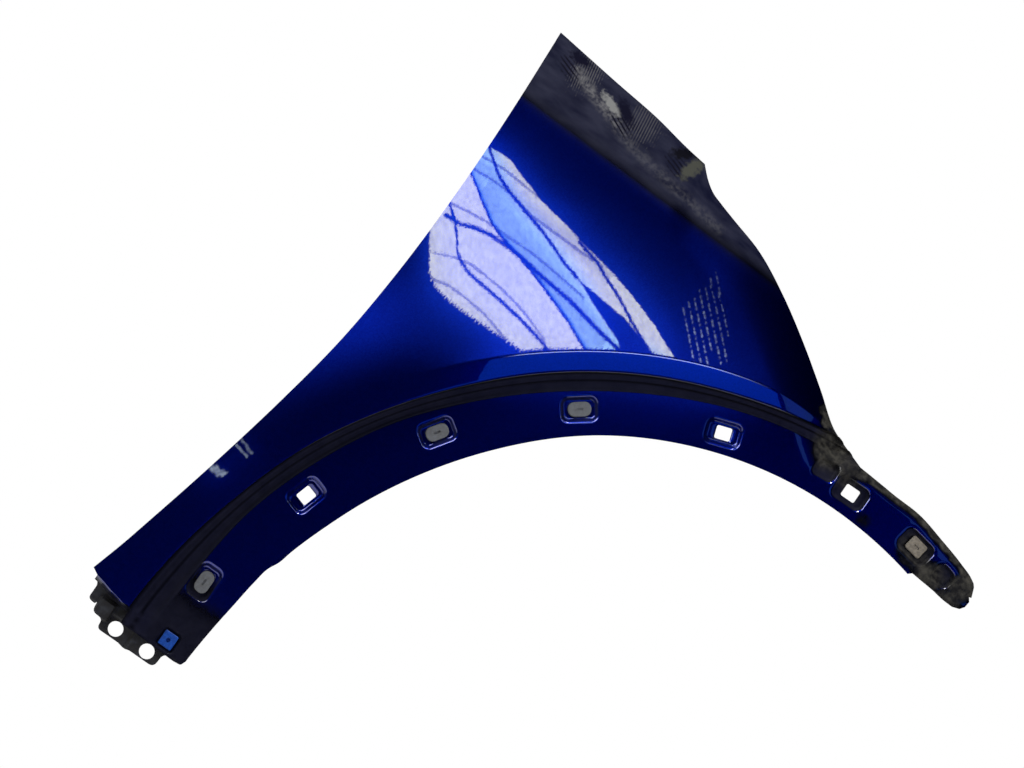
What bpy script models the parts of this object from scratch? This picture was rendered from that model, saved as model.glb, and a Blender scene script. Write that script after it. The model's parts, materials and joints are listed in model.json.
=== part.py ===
"""Right front fender of a small crossover: one pressed steel panel, its clip grommets and its sill bracket.

Everything is measured from the wheel centre, X forward, Y inboard and Z up, and hangs from one empty
that brings the middle hood tab's seat to the world's origin.
"""
import math

import bmesh
import bpy
import numpy as np
from mathutils import Matrix, Vector
from mathutils.geometry import delaunay_2d_cdt

# Driving sizes of the panel, in metres
SHEET = 0.0008                 # steel thickness
ARCH_RADIUS = 0.395            # wheel centre to the arch edge at the top
REAR_WIDTH = 0.145             # arch radius back to the foot of the door edge
REAR_REACH = ARCH_RADIUS + REAR_WIDTH
CROWN_HEIGHT = 0.216           # arch radius up to the top rear corner
TOP_HEIGHT = ARCH_RADIUS + CROWN_HEIGHT
EYEBROW_RISE = 0.060           # arch edge up to the lower edge of the eyebrow
FACET_SPACING = 0.021          # size of the flat facets on the open skin
LINE_SPACING = 0.010           # step along edges and pressed lines
CLEARANCE = 0.0003             # gap between a piece and what it seats on

# Depths of the pressing, inboard from the outermost line
TUMBLEHOME = 0.060             # lean of the skin towards the car at the top
TURN_UNDER = 0.006             # lean of the skin towards the car at the sill
WIDEST_HEIGHT = 0.100          # height of the widest line above the wheel centre
NOSE_SWEEP = 0.045             # lean of the panel towards the car at the front tip
NOSE_START_SHARE = -0.760      # where that lean begins, as a share of the arch radius
NOSE_REACH_SHARE = 0.375       # wheel centre forward to the front tip, as the same
FLARE_FRONT = 0.027            # bulge of the eyebrow over the skin, at the front
FLARE_REAR = 0.012             # the same at the sill
FLARE_SPREAD = 0.130           # how far up the skin the bulge runs out
BROW_TUCK = 0.004              # how far the eyebrow turns in below its crease
SHOULDER_ROLL = 0.030          # extra roll of the skin at the hood line
SHOULDER_HEIGHT = 0.078        # height of that roll at the rear
FLANGE_DROP = 0.012            # eyebrow edge in to the clip flange
FACET_WIDTH = 0.008            # turned strip along the top of the front arm
FACET_DROP = 0.005             # how far it leans in

# Turned edges
ARCH_RETURN = 0.012
DOOR_RETURN = 0.013
LAMP_RETURN = 0.010
ARM_RETURN = 0.008
CORNER_RELIEF = 0.010          # bare edge left at each corner
HOOD_FOLD = 0.005              # top of the fold over the hood line
HOOD_WEB = 0.018               # wall that drops from the fold
HOOD_WEB_LEAN = 0.002
SILL_RETURN = 0.006            # turned-in lower edge of the skin
SILL_LEAN = 0.0045             # how far that edge still runs down
TAB_WIDTH = 0.028
TAB_LENGTH = 0.024
TAB_BOLT_HOLE = 0.009
TAB_TIP_SHARE = 0.62           # width of the tab's tip
TAB_PLACE_SHARES = (-0.824, -0.704, -0.582)
TAB_PLACES = tuple(share * REAR_REACH for share in TAB_PLACE_SHARES)
MOUNT_OFFSET = 0.008           # from the bolt hole's centre to the measured spot beside it

# Clip pockets of the arch flange
POCKET_LENGTH = 0.037
POCKET_HEIGHT = 0.026
POCKET_CORNER = 0.0085
POCKET_WALL = 0.0048           # width of the sloping wall
POCKET_DEPTH = 0.0048
CLIP_HOLE_LENGTH = 0.0148
CLIP_HOLE_HEIGHT = 0.0125
CLIP_HOLE_CORNER = 0.0018
BLIND_LENGTH = 0.026
BLIND_HEIGHT = 0.021
BLIND_CORNER = 0.007
ARM_END_LENGTH = 0.024
ARM_END_HEIGHT = 0.022
CLIP_SEAT_LENGTH = 0.022       # square seat of the sill clip
CLIP_SEAT_WALL = 0.003
CLIP_SEAT_DEPTH = 0.003
CLIP_SEAT_CORNER = 0.005
CLIP_SEAT_HOLE = 0.0085

# Pockets as angle round the wheel, height over the arch radius as a share of the eyebrow's, and what sits there
POCKET_SHARES = (
    (179.7, 0.885, "oval_grommet_rear"),
    (163.6, 0.655, ""),
    (145.6, 0.500, "oval_grommet_middle"),
    (127.4, 0.410, "oval_grommet_top"),
    (108.7, 0.310, ""),
    (90.5, 0.315, ""),
    (79.6, 0.325, "square_grommet"),
)
BLIND_SHARES = (94.8, 0.415)
ARM_END_SHARES = (74.5, 0.335)
CLIP_SEAT_SHARES = (187.8, 0.895)

# Edges of the blank, as hand-set shares of the sizes that they follow. The hood line and the lamp edge go from
# 0 at the arm's level to 1 at the top corner, and the foot goes from 0 at the arch edge's end to 1 at the door.
DOOR_EDGE_SHARES = (
    (-0.0736, 1.0000), (-0.0164, 0.9815), (0.0327, 0.9676), (0.1310, 0.9407), (0.1960, 0.9241),
    (0.2950, 0.9009), (0.4255, 0.8759), (0.5565, 0.8630), (0.7200, 0.8583), (0.8840, 0.8630), (1.0000, 0.8704),
)
HOOD_LINE_SHARES = ((-0.8704, 1.000), (-0.7407, 0.951), (-0.6481, 0.919), (-0.5741, 0.878), (-0.5370, 0.863))
LAMP_EDGE_SHARES = (
    (-0.5370, 0.863), (-0.5185, 0.808), (-0.5000, 0.767), (-0.4722, 0.735), (-0.4444, 0.709),
    (-0.3704, 0.640), (-0.2963, 0.523), (-0.2222, 0.378), (-0.1481, 0.215), (-0.0926, 0.087),
    (-0.0556, 0.041), (-0.0185, 0.000),
)
LAMP_RETURN_END_SHARE = -0.120 # the lamp edge is bare in front of this, across the groove's mouth
ARM_TOP_SHARES = (
    (70.5, 0.550), (71.0, 0.620), (72.0, 0.662), (74.0, 0.678), (78.0, 0.695), (82.0, 0.727),
    (86.0, 0.700), (88.0, 0.707), (91.3, 0.733),
)
ARM_END_EDGE_SHARES = (
    (70.10, 0.490), (70.35, 0.465), (69.80, 0.420), (69.60, 0.320), (69.80, 0.235),
)
ARM_FOOT_SHARES = ((70.6, 0.160), (72.0, 0.112), (74.0, 0.075), (76.0, 0.033), (77.4, 0.010))
ARCH_EDGE_SHARES = (
    (77.8, -0.053), (84.0, -0.043), (96.0, -0.022), (110.0, -0.010), (125.0, 0.000), (141.0, -0.020),
    (150.0, 0.000), (158.0, 0.042), (164.0, 0.085), (170.0, 0.155), (172.0, 0.178), (173.4, 0.235),
    (176.0, 0.265), (180.0, 0.308), (184.0, 0.383), (189.2, 0.505),
)
FOOT_EDGE_SHARES = ((0.018, 1.081), (0.085, 1.094), (0.443, 1.072), (0.584, 1.072), (0.584, 0.853))
SILL_EDGE_SHARES = ((0.700, 0.812), (0.792, 0.780), (0.870, 0.742), (0.942, 0.718))
FOOT_CORNER = 0.003

# Pressed lines round the wheel, as angle and share of the eyebrow's rise
BROW_EDGE_SHARES = (
    (90.0, 0.950), (97.0, 0.942), (108.0, 0.922), (120.0, 0.955), (130.0, 0.990), (140.0, 1.035),
    (150.0, 1.123), (160.0, 1.243), (170.0, 1.350), (180.0, 1.525), (190.0, 1.730),
)
FLANGE_HEAD_SHARES = (
    (90.0, 0.715), (100.0, 0.733), (128.0, 0.730), (140.0, 0.808), (150.0, 0.917), (160.0, 1.000),
    (170.0, 1.085), (180.0, 1.142), (190.0, 1.290),
)
CREASE_SHARES = (
    (94.0, 0.900), (97.0, 1.000), (100.0, 1.100), (105.0, 1.200), (110.0, 1.243), (120.0, 1.288),
    (130.0, 1.325), (140.0, 1.392), (150.0, 1.500), (170.0, 1.733), (190.0, 2.033),
)
CREASE_END = 134.0             # degrees; the crease is crisp in front of this line
CREASE_FADE = 14.0             # degrees over which it softens behind
GROOVE_END = 187.3             # degrees; the groove runs out here
GROOVE_FADE = 2.0

# Section of the groove: share of its width from the eyebrow down, and share of the drop to the flange
GROOVE_SECTION_SHARES = ((0.00, 0.00), (0.12, 0.60), (0.45, 0.68), (0.56, 1.04), (0.90, 1.10), (1.00, 1.00))

# Grommets and the sill clip
HEAD_LENGTH = 0.022
HEAD_HEIGHT = 0.0138
HEAD_THICKNESS = 0.0026
HEAD_EDGE = 0.0006
SQUARE_HEAD_LENGTH = 0.0175
SQUARE_HEAD_HEIGHT = 0.0145
SQUARE_HEAD_CORNER = 0.0020
BARB = 0.0010                  # how far the barb stands out behind the sheet
BARB_THICKNESS = 0.0015
SHANK_TIP = 0.0085             # tip of the shank behind the pocket floor
SHANK_TIP_SHARE = 0.70
SLOT_LENGTH = 0.0065
SLOT_HEIGHT = 0.0022
SLOT_DEPTH = 0.0009
CLIP_HEAD_LENGTH = 0.0140
CLIP_HEAD_HEIGHT = 0.0150
CLIP_HEAD_CORNER = 0.0012
CLIP_BORE = 0.0042
CLIP_BORE_DEPTH = 0.0022

# Sill bracket behind the foot of the panel. Its places are shares of its length and drop, back and down from
# the sill clip that fastens it.
BRACKET_SHEET = 0.0020
BRACKET_LENGTH = 0.0865        # clip back to the end of the rear tab
BRACKET_DROP = 0.0310          # clip down to the lowest edge
BRACKET_CORNER = 0.0070
BRACKET_LUG_HOLE = 0.0146
BRACKET_BEND = 0.0025          # width of its bends
BRACKET_STEP = 0.0025          # lap behind the panel in to the front lug
BRACKET_JOGGLE = 0.0030        # front lug in to the rear one
BRACKET_PAD_RISE = 0.0070      # rear pad, out from the plate
BRACKET_LUG_SHARES = ((0.532, 0.635), (0.120, 0.650))
BRACKET_STEP_SHARE = 0.280
BRACKET_JOGGLE_SHARE = 0.330
BRACKET_PAD_SHARES = (0.672, 0.838)
BRACKET_PAD_DROP_SHARES = (0.020, 0.605)
BRACKET_OUTLINE_SHARES = (
    (1.000, -0.290), (0.965, -0.129), (0.965, 0.340), (0.868, 0.371), (0.862, 0.230), (0.850, 0.597), (0.710, 0.610),
    (0.706, 0.935), (0.430, 0.930), (0.353, 0.975), (0.280, 0.930), (-0.036, 0.930), (-0.041, 0.500), (-0.121, 0.290),
    (-0.191, -0.129), (-0.145, -0.436), (0.815, -0.468), (1.000, -0.400),
)

# Colours, linear
PAINT_BLUE = (0.006, 0.030, 0.290, 1.0)
BRACKET_GREY = (0.045, 0.045, 0.047, 1.0)
GROMMET_GREY = (0.200, 0.200, 0.195, 1.0)
SQUARE_GREY = (0.270, 0.245, 0.235, 1.0)
CLIP_BLUE = (0.010, 0.130, 0.560, 1.0)

CORNER_STEPS = 4               # points on each rounded corner
ROUND_STEPS = 24               # sides of a bolt hole


# Small geometry

def eased(value):
    """Runs from 0 to 1 with level ends."""
    value = np.clip(value, 0.0, 1.0)
    return value * value * (3.0 - 2.0 * value)


def curve_value(table, place):
    """Height of the smooth curve through a table's points, at a place or at many."""
    places, values = (np.array(column, dtype=float) for column in zip(*table))
    slopes = np.gradient(values, places)
    place = np.clip(place, places[0], places[-1])
    left = np.clip(np.searchsorted(places, place) - 1, 0, len(places) - 2)
    width = places[left + 1] - places[left]
    t = (place - places[left]) / width
    start = (1.0 + 2.0 * t) * (1.0 - t) ** 2 * values[left] + t * (1.0 - t) ** 2 * width * slopes[left]
    end = t * t * (3.0 - 2.0 * t) * values[left + 1] + t * t * (t - 1.0) * width * slopes[left + 1]
    return start + end


def round_wheel(angle, share):
    """Point at an angle round the wheel centre, a share of the eyebrow's rise above the arch radius."""
    radius = ARCH_RADIUS + share * EYEBROW_RISE
    return radius * math.cos(math.radians(angle)), radius * math.sin(math.radians(angle))


def wheel_line(table, start, end, offset=0.0):
    """Points along a line that is given round the wheel."""
    length = math.radians(abs(end - start)) * ARCH_RADIUS
    angles = np.linspace(start, end, max(2, round(length / LINE_SPACING) + 1))
    shares = curve_value(table, angles) + offset / EYEBROW_RISE
    return [round_wheel(angle, share) for angle, share in zip(angles, shares)]


def rounded_rectangle(length, height, corner, steps=CORNER_STEPS):
    """Outline of a rectangle with round corners, anticlockwise."""
    outline = []
    for turn, (side, up) in enumerate(((1, -1), (1, 1), (-1, 1), (-1, -1))):
        for step in range(steps + 1):
            angle = math.radians(-90.0 + 90.0 * turn + 90.0 * step / steps)
            along = side * (length / 2.0 - corner) + corner * math.cos(angle)
            across = up * (height / 2.0 - corner) + corner * math.sin(angle)
            outline.append((along, across))
    return outline


def rounded_path(corners, radius, closed=False):
    """A bent line, or a closed outline, with its corners turned smoothly."""
    corners = [np.array(corner, dtype=float) for corner in corners]
    path = []
    for step, corner in enumerate(corners):
        before, after = corners[step - 1] - corner, corners[(step + 1) % len(corners)] - corner
        room = min(np.linalg.norm(before), np.linalg.norm(after)) / 2.2
        before, after = before / np.linalg.norm(before), after / np.linalg.norm(after)
        half = math.acos(max(-1.0, min(1.0, float(before @ after)))) / 2.0
        cut = min(radius / math.tan(half), room)
        if cut < SHEET or not closed and step in (0, len(corners) - 1):
            path.append(tuple(corner))
            continue
        for share in np.linspace(0.0, 1.0, CORNER_STEPS + 1):
            pull = (1.0 - share) ** 2 * before + share ** 2 * after
            path.append(tuple(corner + cut * pull))
    return path


def inside(outline, points):
    """Tells which points lie inside a closed outline."""
    points = np.asarray(points, dtype=float)
    result = np.zeros(len(points), dtype=bool)
    for (x0, z0), (x1, z1) in zip(outline, outline[1:] + outline[:1]):
        crosses = (z0 > points[:, 1]) != (z1 > points[:, 1])
        if z0 != z1:
            reach = x0 + (points[:, 1] - z0) / (z1 - z0) * (x1 - x0)
            result ^= crosses & (points[:, 0] < reach)
    return result


def distance_to(line, points):
    """Distance from each point to an open line of points."""
    points = np.asarray(points, dtype=float)
    nearest = np.full(len(points), math.inf)
    for start, end in zip(line, line[1:]):
        start, run = np.array(start), np.array(end) - np.array(start)
        share = np.clip((points - start) @ run / (run @ run), 0.0, 1.0)
        nearest = np.minimum(nearest, np.linalg.norm(points - start - share[:, None] * run, axis=1))
    return nearest


# Edges of the blank

def edge_runs():
    """The named edges of the panel, in order round it."""
    heights = np.linspace(DOOR_EDGE_SHARES[0][0], DOOR_EDGE_SHARES[-1][0], round(TOP_HEIGHT / LINE_SPACING / 1.5))
    door = [(-REAR_REACH * float(curve_value(DOOR_EDGE_SHARES, height)), TOP_HEIGHT * height)
            for height in heights]
    tab_sides = [place + side * TAB_WIDTH / 2.0 for place in TAB_PLACES for side in (-1, 1)]
    stops = [HOOD_LINE_SHARES[0][0] * REAR_REACH] + tab_sides + [HOOD_LINE_SHARES[-1][0] * REAR_REACH]
    hood = []
    for start, end in zip(stops, stops[1:]):
        steps = max(1, round((end - start) / LINE_SPACING))
        hood += [start + (end - start) * step / steps for step in range(steps)]
    hood = [(x, upper_edge(x)) for x in hood + [stops[-1]]]
    lamp_length = (LAMP_EDGE_SHARES[-1][0] - LAMP_EDGE_SHARES[0][0]) * REAR_REACH
    lamp = [(x, upper_edge(x)) for x in
            LAMP_EDGE_SHARES[0][0] * REAR_REACH
            + lamp_length * np.linspace(0.0, 1.0, round(lamp_length / LINE_SPACING) + 1)]
    mouth = [place for place in lamp if place[0] > LAMP_RETURN_END_SHARE * REAR_REACH]
    lamp = lamp[:len(lamp) - len(mouth)]
    arm_top = wheel_line(ARM_TOP_SHARES, ARM_TOP_SHARES[-1][0], ARM_TOP_SHARES[0][0])
    arm_end = [round_wheel(*place) for place in ARM_END_EDGE_SHARES]
    arm_foot = wheel_line(ARM_FOOT_SHARES, ARM_FOOT_SHARES[0][0], ARM_FOOT_SHARES[-1][0])
    arch = wheel_line(ARCH_EDGE_SHARES, ARCH_EDGE_SHARES[0][0], ARCH_EDGE_SHARES[-1][0])
    (arch_x, arch_z), (door_x, _) = arch[-1], door[0]
    foot = [(arch_x + along * (door_x - arch_x), down * arch_z) for along, down in FOOT_EDGE_SHARES]
    sill = [(arch_x + along * (door_x - arch_x), down * arch_z) for along, down in SILL_EDGE_SHARES]
    return {
        "door": door,
        "hood": door[-1:] + hood[1:],
        "lamp": hood[-1:] + lamp[1:],
        "mouth": lamp[-1:] + mouth,
        "arm_top": mouth[-1:] + arm_top[1:],
        "arm_end": arm_top[-1:] + arm_end,
        "arm_foot": arm_end[-1:] + arm_foot,
        "arch": arm_foot[-1:] + arch,
        "foot": rounded_path(arch[-1:] + foot, FOOT_CORNER),
        "sill": foot[-1:] + sill + door[:1],
    }


def upper_edge(x):
    """Height of the hood line and the lamp edge over a place along the car."""
    place = x / REAR_REACH
    on_hood = place < HOOD_LINE_SHARES[-1][0]
    share = np.where(on_hood, curve_value(HOOD_LINE_SHARES, place), curve_value(LAMP_EDGE_SHARES, place))
    arm = ARCH_RADIUS + ARM_TOP_SHARES[-1][1] * EYEBROW_RISE
    return arm + (TOP_HEIGHT - arm) * share


# Depth of the pressing

def skin_depth(x, z, angle, share):
    """Depth of the open skin and the eyebrow, without the groove and the flange."""
    above = np.clip((z - WIDEST_HEIGHT) / (TOP_HEIGHT - WIDEST_HEIGHT), 0.0, None)
    below = np.clip((WIDEST_HEIGHT - z) / ARCH_RADIUS, 0.0, None)
    sweep = np.clip((x / ARCH_RADIUS - NOSE_START_SHARE) / (NOSE_REACH_SHARE - NOSE_START_SHARE), 0.0, None)
    depth = TUMBLEHOME * above ** 2 + TURN_UNDER * below ** 2 + NOSE_SWEEP * sweep ** 2
    height = SHOULDER_HEIGHT * (1.0 - 0.45 * np.clip((x + REAR_REACH) / REAR_REACH, 0.0, 1.0))
    roll = np.clip(1.0 - (upper_edge(x) - z) / height, 0.0, 1.0) * eased((0.0 - x) / height)
    depth = depth + SHOULDER_ROLL * roll ** 1.7
    crisp = 1.0 - eased((angle - CREASE_END) / CREASE_FADE)
    rear = eased((angle - CREASE_END) / (GROOVE_END - CREASE_END))
    flare = FLARE_FRONT + (FLARE_REAR - FLARE_FRONT) * rear
    over = (share - curve_value(CREASE_SHARES, angle)) * EYEBROW_RISE
    run_out = np.clip(over / FLARE_SPREAD, 0.0, 1.0)
    bulge = crisp * (1.0 - run_out) ** 2 + (1.0 - crisp) * (1.0 - eased(run_out))
    band = (curve_value(CREASE_SHARES, angle) - curve_value(BROW_EDGE_SHARES, angle)) * EYEBROW_RISE
    tuck = np.clip(-over / np.maximum(band, SHEET), 0.0, 1.0)
    return depth - flare * bulge + BROW_TUCK * crisp * tuck


def press_depth(points):
    """Depth of the whole pressing at flat places, apart from its pockets."""
    x, z = np.asarray(points, dtype=float).T
    angle = np.degrees(np.arctan2(z, x)) % 360.0
    share = (np.hypot(x, z) - ARCH_RADIUS) / EYEBROW_RISE
    depth = skin_depth(x, z, angle, share)
    head = curve_value(BROW_EDGE_SHARES, angle)
    foot = curve_value(FLANGE_HEAD_SHARES, angle)
    places, drops = zip(*GROOVE_SECTION_SHARES)
    drop = np.interp((head - share) / (head - foot), places, drops)
    runs_out = 1.0 - eased((angle - GROOVE_END + GROOVE_FADE) / GROOVE_FADE)
    below_brow = np.clip((head - share) / (head - foot), 0.0, 1.0)
    drop = drop * runs_out + eased(below_brow) * (1.0 - runs_out)
    depth = depth + FLANGE_DROP * drop
    arm_edge = (curve_value(ARM_TOP_SHARES, angle) - share) * EYEBROW_RISE
    lean = np.clip(1.0 - arm_edge / FACET_WIDTH, 0.0, 1.0) * (angle < ARM_TOP_SHARES[-1][0])
    return depth + FACET_DROP * lean


class Pocket:
    """A flat-floored recess of the arch flange, in its own axes: along the arch and outward."""

    def __init__(self, place, turn, length, height, corner, wall, drop, hole=None, level=False):
        self.place = np.array(place, dtype=float)
        self.along = np.array((math.cos(turn), math.sin(turn)))
        self.across = np.array((-math.sin(turn), math.cos(turn)))
        self.size = (length, height, corner)
        self.wall = wall
        self.hole = hole
        probe = CLEARANCE
        middle, right, up = press_depth([self.place, self.place + (probe, 0.0), self.place + (0.0, probe)])
        slope = np.array(((right - middle) / probe, (up - middle) / probe))
        self.slope = slope * (0.0 if level else 1.0)
        self.depth = middle + drop

    def outline(self, length, height, corner):
        """A rounded rectangle round the pocket's middle, as flat places."""
        return [tuple(self.place + a * self.along + b * self.across)
                for a, b in rounded_rectangle(length, height, corner)]

    def rim(self):
        return self.outline(*self.size)

    def floor(self):
        length, height, corner = self.size
        return self.outline(length - 2.0 * self.wall, height - 2.0 * self.wall, corner - self.wall)

    def hole_outline(self):
        return self.outline(*self.hole)

    def floor_share(self, points):
        """How far each place is down the wall, from 0 at the rim to 1 on the floor."""
        length, height, corner = self.size
        local = np.abs(np.stack(((points - self.place) @ self.along, (points - self.place) @ self.across), 1))
        past = local - (np.array((length, height)) / 2.0 - corner)
        outside = np.linalg.norm(np.clip(past, 0.0, None), axis=1)
        signed = outside + np.clip(past.max(axis=1), None, 0.0) - corner
        return np.clip(-signed / self.wall, 0.0, 1.0)

    def floor_depth(self, points):
        return self.depth + (points - self.place) @ self.slope

    def frame(self):
        """Matrix of the pocket floor: along the arch, inboard, outward."""
        inboard = Vector((-self.slope[0], 1.0, -self.slope[1])).normalized()
        along = Vector((self.along[0], self.along @ self.slope, self.along[1])).normalized()
        outward = along.cross(inboard)
        matrix = Matrix((along, inboard, outward)).transposed().to_4x4()
        matrix.translation = Vector((self.place[0], self.depth, self.place[1]))
        return matrix


def clip_pockets():
    """Every pocket of the flange, by the name of what sits in it or a plain one."""
    hole = (CLIP_HOLE_LENGTH, CLIP_HOLE_HEIGHT, CLIP_HOLE_CORNER)
    pockets = {}
    for number, (angle, share, holds) in enumerate(POCKET_SHARES):
        turn = math.radians(angle - 90.0)
        pockets[holds or f"open_{number}"] = Pocket(
            round_wheel(angle, share), turn, POCKET_LENGTH, POCKET_HEIGHT, POCKET_CORNER,
            POCKET_WALL, POCKET_DEPTH, hole)
    pockets["blind"] = Pocket(
        round_wheel(*BLIND_SHARES), math.radians(BLIND_SHARES[0] - 90.0), BLIND_LENGTH, BLIND_HEIGHT,
        BLIND_CORNER, POCKET_WALL, POCKET_DEPTH)
    pockets["arm_end"] = Pocket(
        round_wheel(*ARM_END_SHARES), math.radians(ARM_END_SHARES[0] - 90.0), ARM_END_LENGTH, ARM_END_HEIGHT,
        POCKET_CORNER, POCKET_WALL, POCKET_DEPTH)
    seat_hole = (CLIP_SEAT_HOLE, CLIP_SEAT_HOLE, CLIP_SEAT_HOLE / CORNER_STEPS)
    pockets["sill_clip"] = Pocket(
        round_wheel(*CLIP_SEAT_SHARES), 0.0, CLIP_SEAT_LENGTH, CLIP_SEAT_LENGTH, CLIP_SEAT_CORNER, CLIP_SEAT_WALL,
        CLIP_SEAT_DEPTH, seat_hole, level=True)
    return pockets


# Sheet metal

def flat_blank(outline, lines, loops, holes):
    """Triangulates a flat sheet along its pressed lines and loops, less its holes."""
    places, edges, barriers = [], [], []
    for line, closed in [(outline, True)] + [(line, False) for line in lines] + [(loop, True) for loop in loops]:
        first = len(places)
        places += line
        edges += [(first + step, first + step + 1) for step in range(len(line) - 1)]
        if closed:
            edges.append((first + len(line) - 1, first))
        barriers.append(line + line[:1] if closed else line)
    low, high = np.min(outline, axis=0), np.max(outline, axis=0)
    columns = np.arange(low[0], high[0], FACET_SPACING)
    rows = np.arange(low[1], high[1], FACET_SPACING * math.sqrt(0.75))
    grid = np.array([(x + FACET_SPACING / 2.0 * (row % 2), z) for row, z in enumerate(rows) for x in columns])
    grid = grid[inside(outline, grid)]
    for line in barriers:
        grid = grid[distance_to(line, grid) > 0.5 * FACET_SPACING]
    for loop in loops:
        grid = grid[~inside(loop, grid)]
    places += [tuple(place) for place in grid]
    flat, _, faces = delaunay_2d_cdt([Vector(place) for place in places], edges, [], 1, SHEET / 1000.0, False)[:3]
    middles = np.array([np.mean([flat[corner] for corner in face], axis=0) for face in faces])
    keep = inside(outline, middles)
    for hole in holes:
        keep &= ~inside(hole, middles)
    return np.array([tuple(place) for place in flat]), [list(face) for face, kept in zip(faces, keep) if kept]


def sheet_mesh(places, faces, depths):
    """Open sheet lifted from its blank, with its faces turned outboard."""
    sheet = bmesh.new()
    corners = [sheet.verts.new((x, depth, z)) for (x, z), depth in zip(places, depths)]
    for face in faces:
        sheet.faces.new([corners[corner] for corner in face])
    bmesh.ops.delete(sheet, geom=[vert for vert in sheet.verts if not vert.link_faces], context="VERTS")
    face_outboard(sheet)
    return sheet


def face_outboard(sheet):
    """Turns all faces the same way round, most of them outboard."""
    bmesh.ops.recalc_face_normals(sheet, faces=sheet.faces[:])
    sheet.normal_update()
    if sum(face.normal.y * face.calc_area() for face in sheet.faces) > 0.0:
        bmesh.ops.reverse_faces(sheet, faces=sheet.faces[:])


def free_edges(sheet, line, relief=0.0):
    """Open edges of the sheet that lie along a line, clear of its ends."""
    open_edges = [edge for edge in sheet.edges if edge.is_boundary]
    middles = np.array([((edge.verts[0].co + edge.verts[1].co) / 2.0).xz for edge in open_edges])
    near = distance_to(line, middles) < SHEET
    for end in (line[0], line[-1]):
        near &= np.linalg.norm(middles - np.array(end), axis=1) > relief
    return [edge for edge, kept in zip(open_edges, near) if kept]


def fold(sheet, edges, shift):
    """Turns a new strip off the given edges and gives its far edges."""
    made = bmesh.ops.extrude_edge_only(sheet, edges=edges)["geom"]
    for vert in made:
        if isinstance(vert, bmesh.types.BMVert):
            vert.co += Vector(shift(vert.co))
    return [edge for edge in made if isinstance(edge, bmesh.types.BMEdge)
            and all(vert in made for vert in edge.verts) and edge.is_boundary]


def tab_level(place):
    """Height of a hood tab."""
    return float(upper_edge(place)) - HOOD_WEB


def fold_hood_edge(sheet, line):
    """Fold, web and three bolt tabs along the hood line."""
    rim = fold(sheet, free_edges(sheet, line, CORNER_RELIEF), lambda co: (0.0, HOOD_FOLD, 0.0))
    rim = [edge for edge in rim if edge.calc_face_angle(None) is None]

    def web_shift(co):
        near = min(TAB_PLACES, key=lambda place: abs(place - co.x))
        between = eased((abs(near - co.x) - TAB_WIDTH / 2.0) / TAB_WIDTH)
        free = float(upper_edge(co.x)) - HOOD_WEB * TAB_TIP_SHARE
        level = tab_level(near) + (free - tab_level(near)) * between
        return 0.0, HOOD_WEB_LEAN, level - co.z

    rim = fold(sheet, rim, web_shift)
    for place in TAB_PLACES:
        reach = TAB_WIDTH / 2.0 + CLEARANCE
        root = [edge for edge in rim if all(abs(vert.co.x - place) < reach for vert in edge.verts)]
        middle = fold(sheet, root, lambda co: (0.0, TAB_LENGTH * TAB_TIP_SHARE, 0.0))
        tip_y = hood_web_depth(place) + TAB_LENGTH
        fold(sheet, middle, lambda co, at=place: (
            (at - co.x) * (1.0 - TAB_TIP_SHARE), tip_y - co.y, 0.0))


def hood_web_depth(x):
    """Depth of the web's foot, where the tabs begin."""
    return float(press_depth([(x, float(upper_edge(x)))])[0]) + HOOD_FOLD + HOOD_WEB_LEAN


def tab_hole_place(place):
    """Centre of a tab's bolt hole on the tab's upper face."""
    return Vector((place, hood_web_depth(place) + TAB_LENGTH / 2.0, tab_level(place)))


# Objects

def material(name, colour, roughness, metallic=0.0, coat=0.0):
    """Principled material with one plain colour."""
    made = bpy.data.materials.new(name)
    made.use_nodes = True
    shader = made.node_tree.nodes["Principled BSDF"]
    shader.inputs["Base Color"].default_value = colour
    shader.inputs["Roughness"].default_value = roughness
    shader.inputs["Metallic"].default_value = metallic
    shader.inputs["Coat Weight"].default_value = coat
    made.diffuse_color = colour
    return made


def add_object(name, shape, parent, finish):
    """Puts a finished bmesh into the scene as one named object."""
    mesh = bpy.data.meshes.new(name)
    shape.to_mesh(mesh)
    shape.free()
    mesh.materials.append(finish)
    mesh.shade_smooth()
    mesh.set_sharp_from_angle(angle=math.radians(32.0))
    made = bpy.data.objects.new(name, mesh)
    bpy.context.scene.collection.objects.link(made)
    made.parent = parent
    return made


def thicken(made, thickness):
    """Gives an open sheet its gauge, on the inboard side."""
    solid = made.modifiers.new("gauge", "SOLIDIFY")
    solid.thickness = thickness
    solid.offset = -1.0
    solid.use_even_offset = True


def drill(made, name, place, diameter, parent):
    """Cuts a round hole straight down through a tab."""
    cutter_shape = bmesh.new()
    bmesh.ops.create_cone(
        cutter_shape, cap_ends=True, segments=ROUND_STEPS, radius1=diameter / 2.0, radius2=diameter / 2.0,
        depth=HOOD_WEB)
    mesh = bpy.data.meshes.new(name)
    cutter_shape.to_mesh(mesh)
    cutter_shape.free()
    cutter = bpy.data.objects.new(name, mesh)
    bpy.context.scene.collection.objects.link(cutter)
    cutter.parent = parent
    cutter.location = place
    cutter.hide_render = True
    cutter.display_type = "WIRE"
    cut = made.modifiers.new(name, "BOOLEAN")
    cut.operation = "DIFFERENCE"
    cut.solver = "EXACT"
    cut.object = cutter


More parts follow.
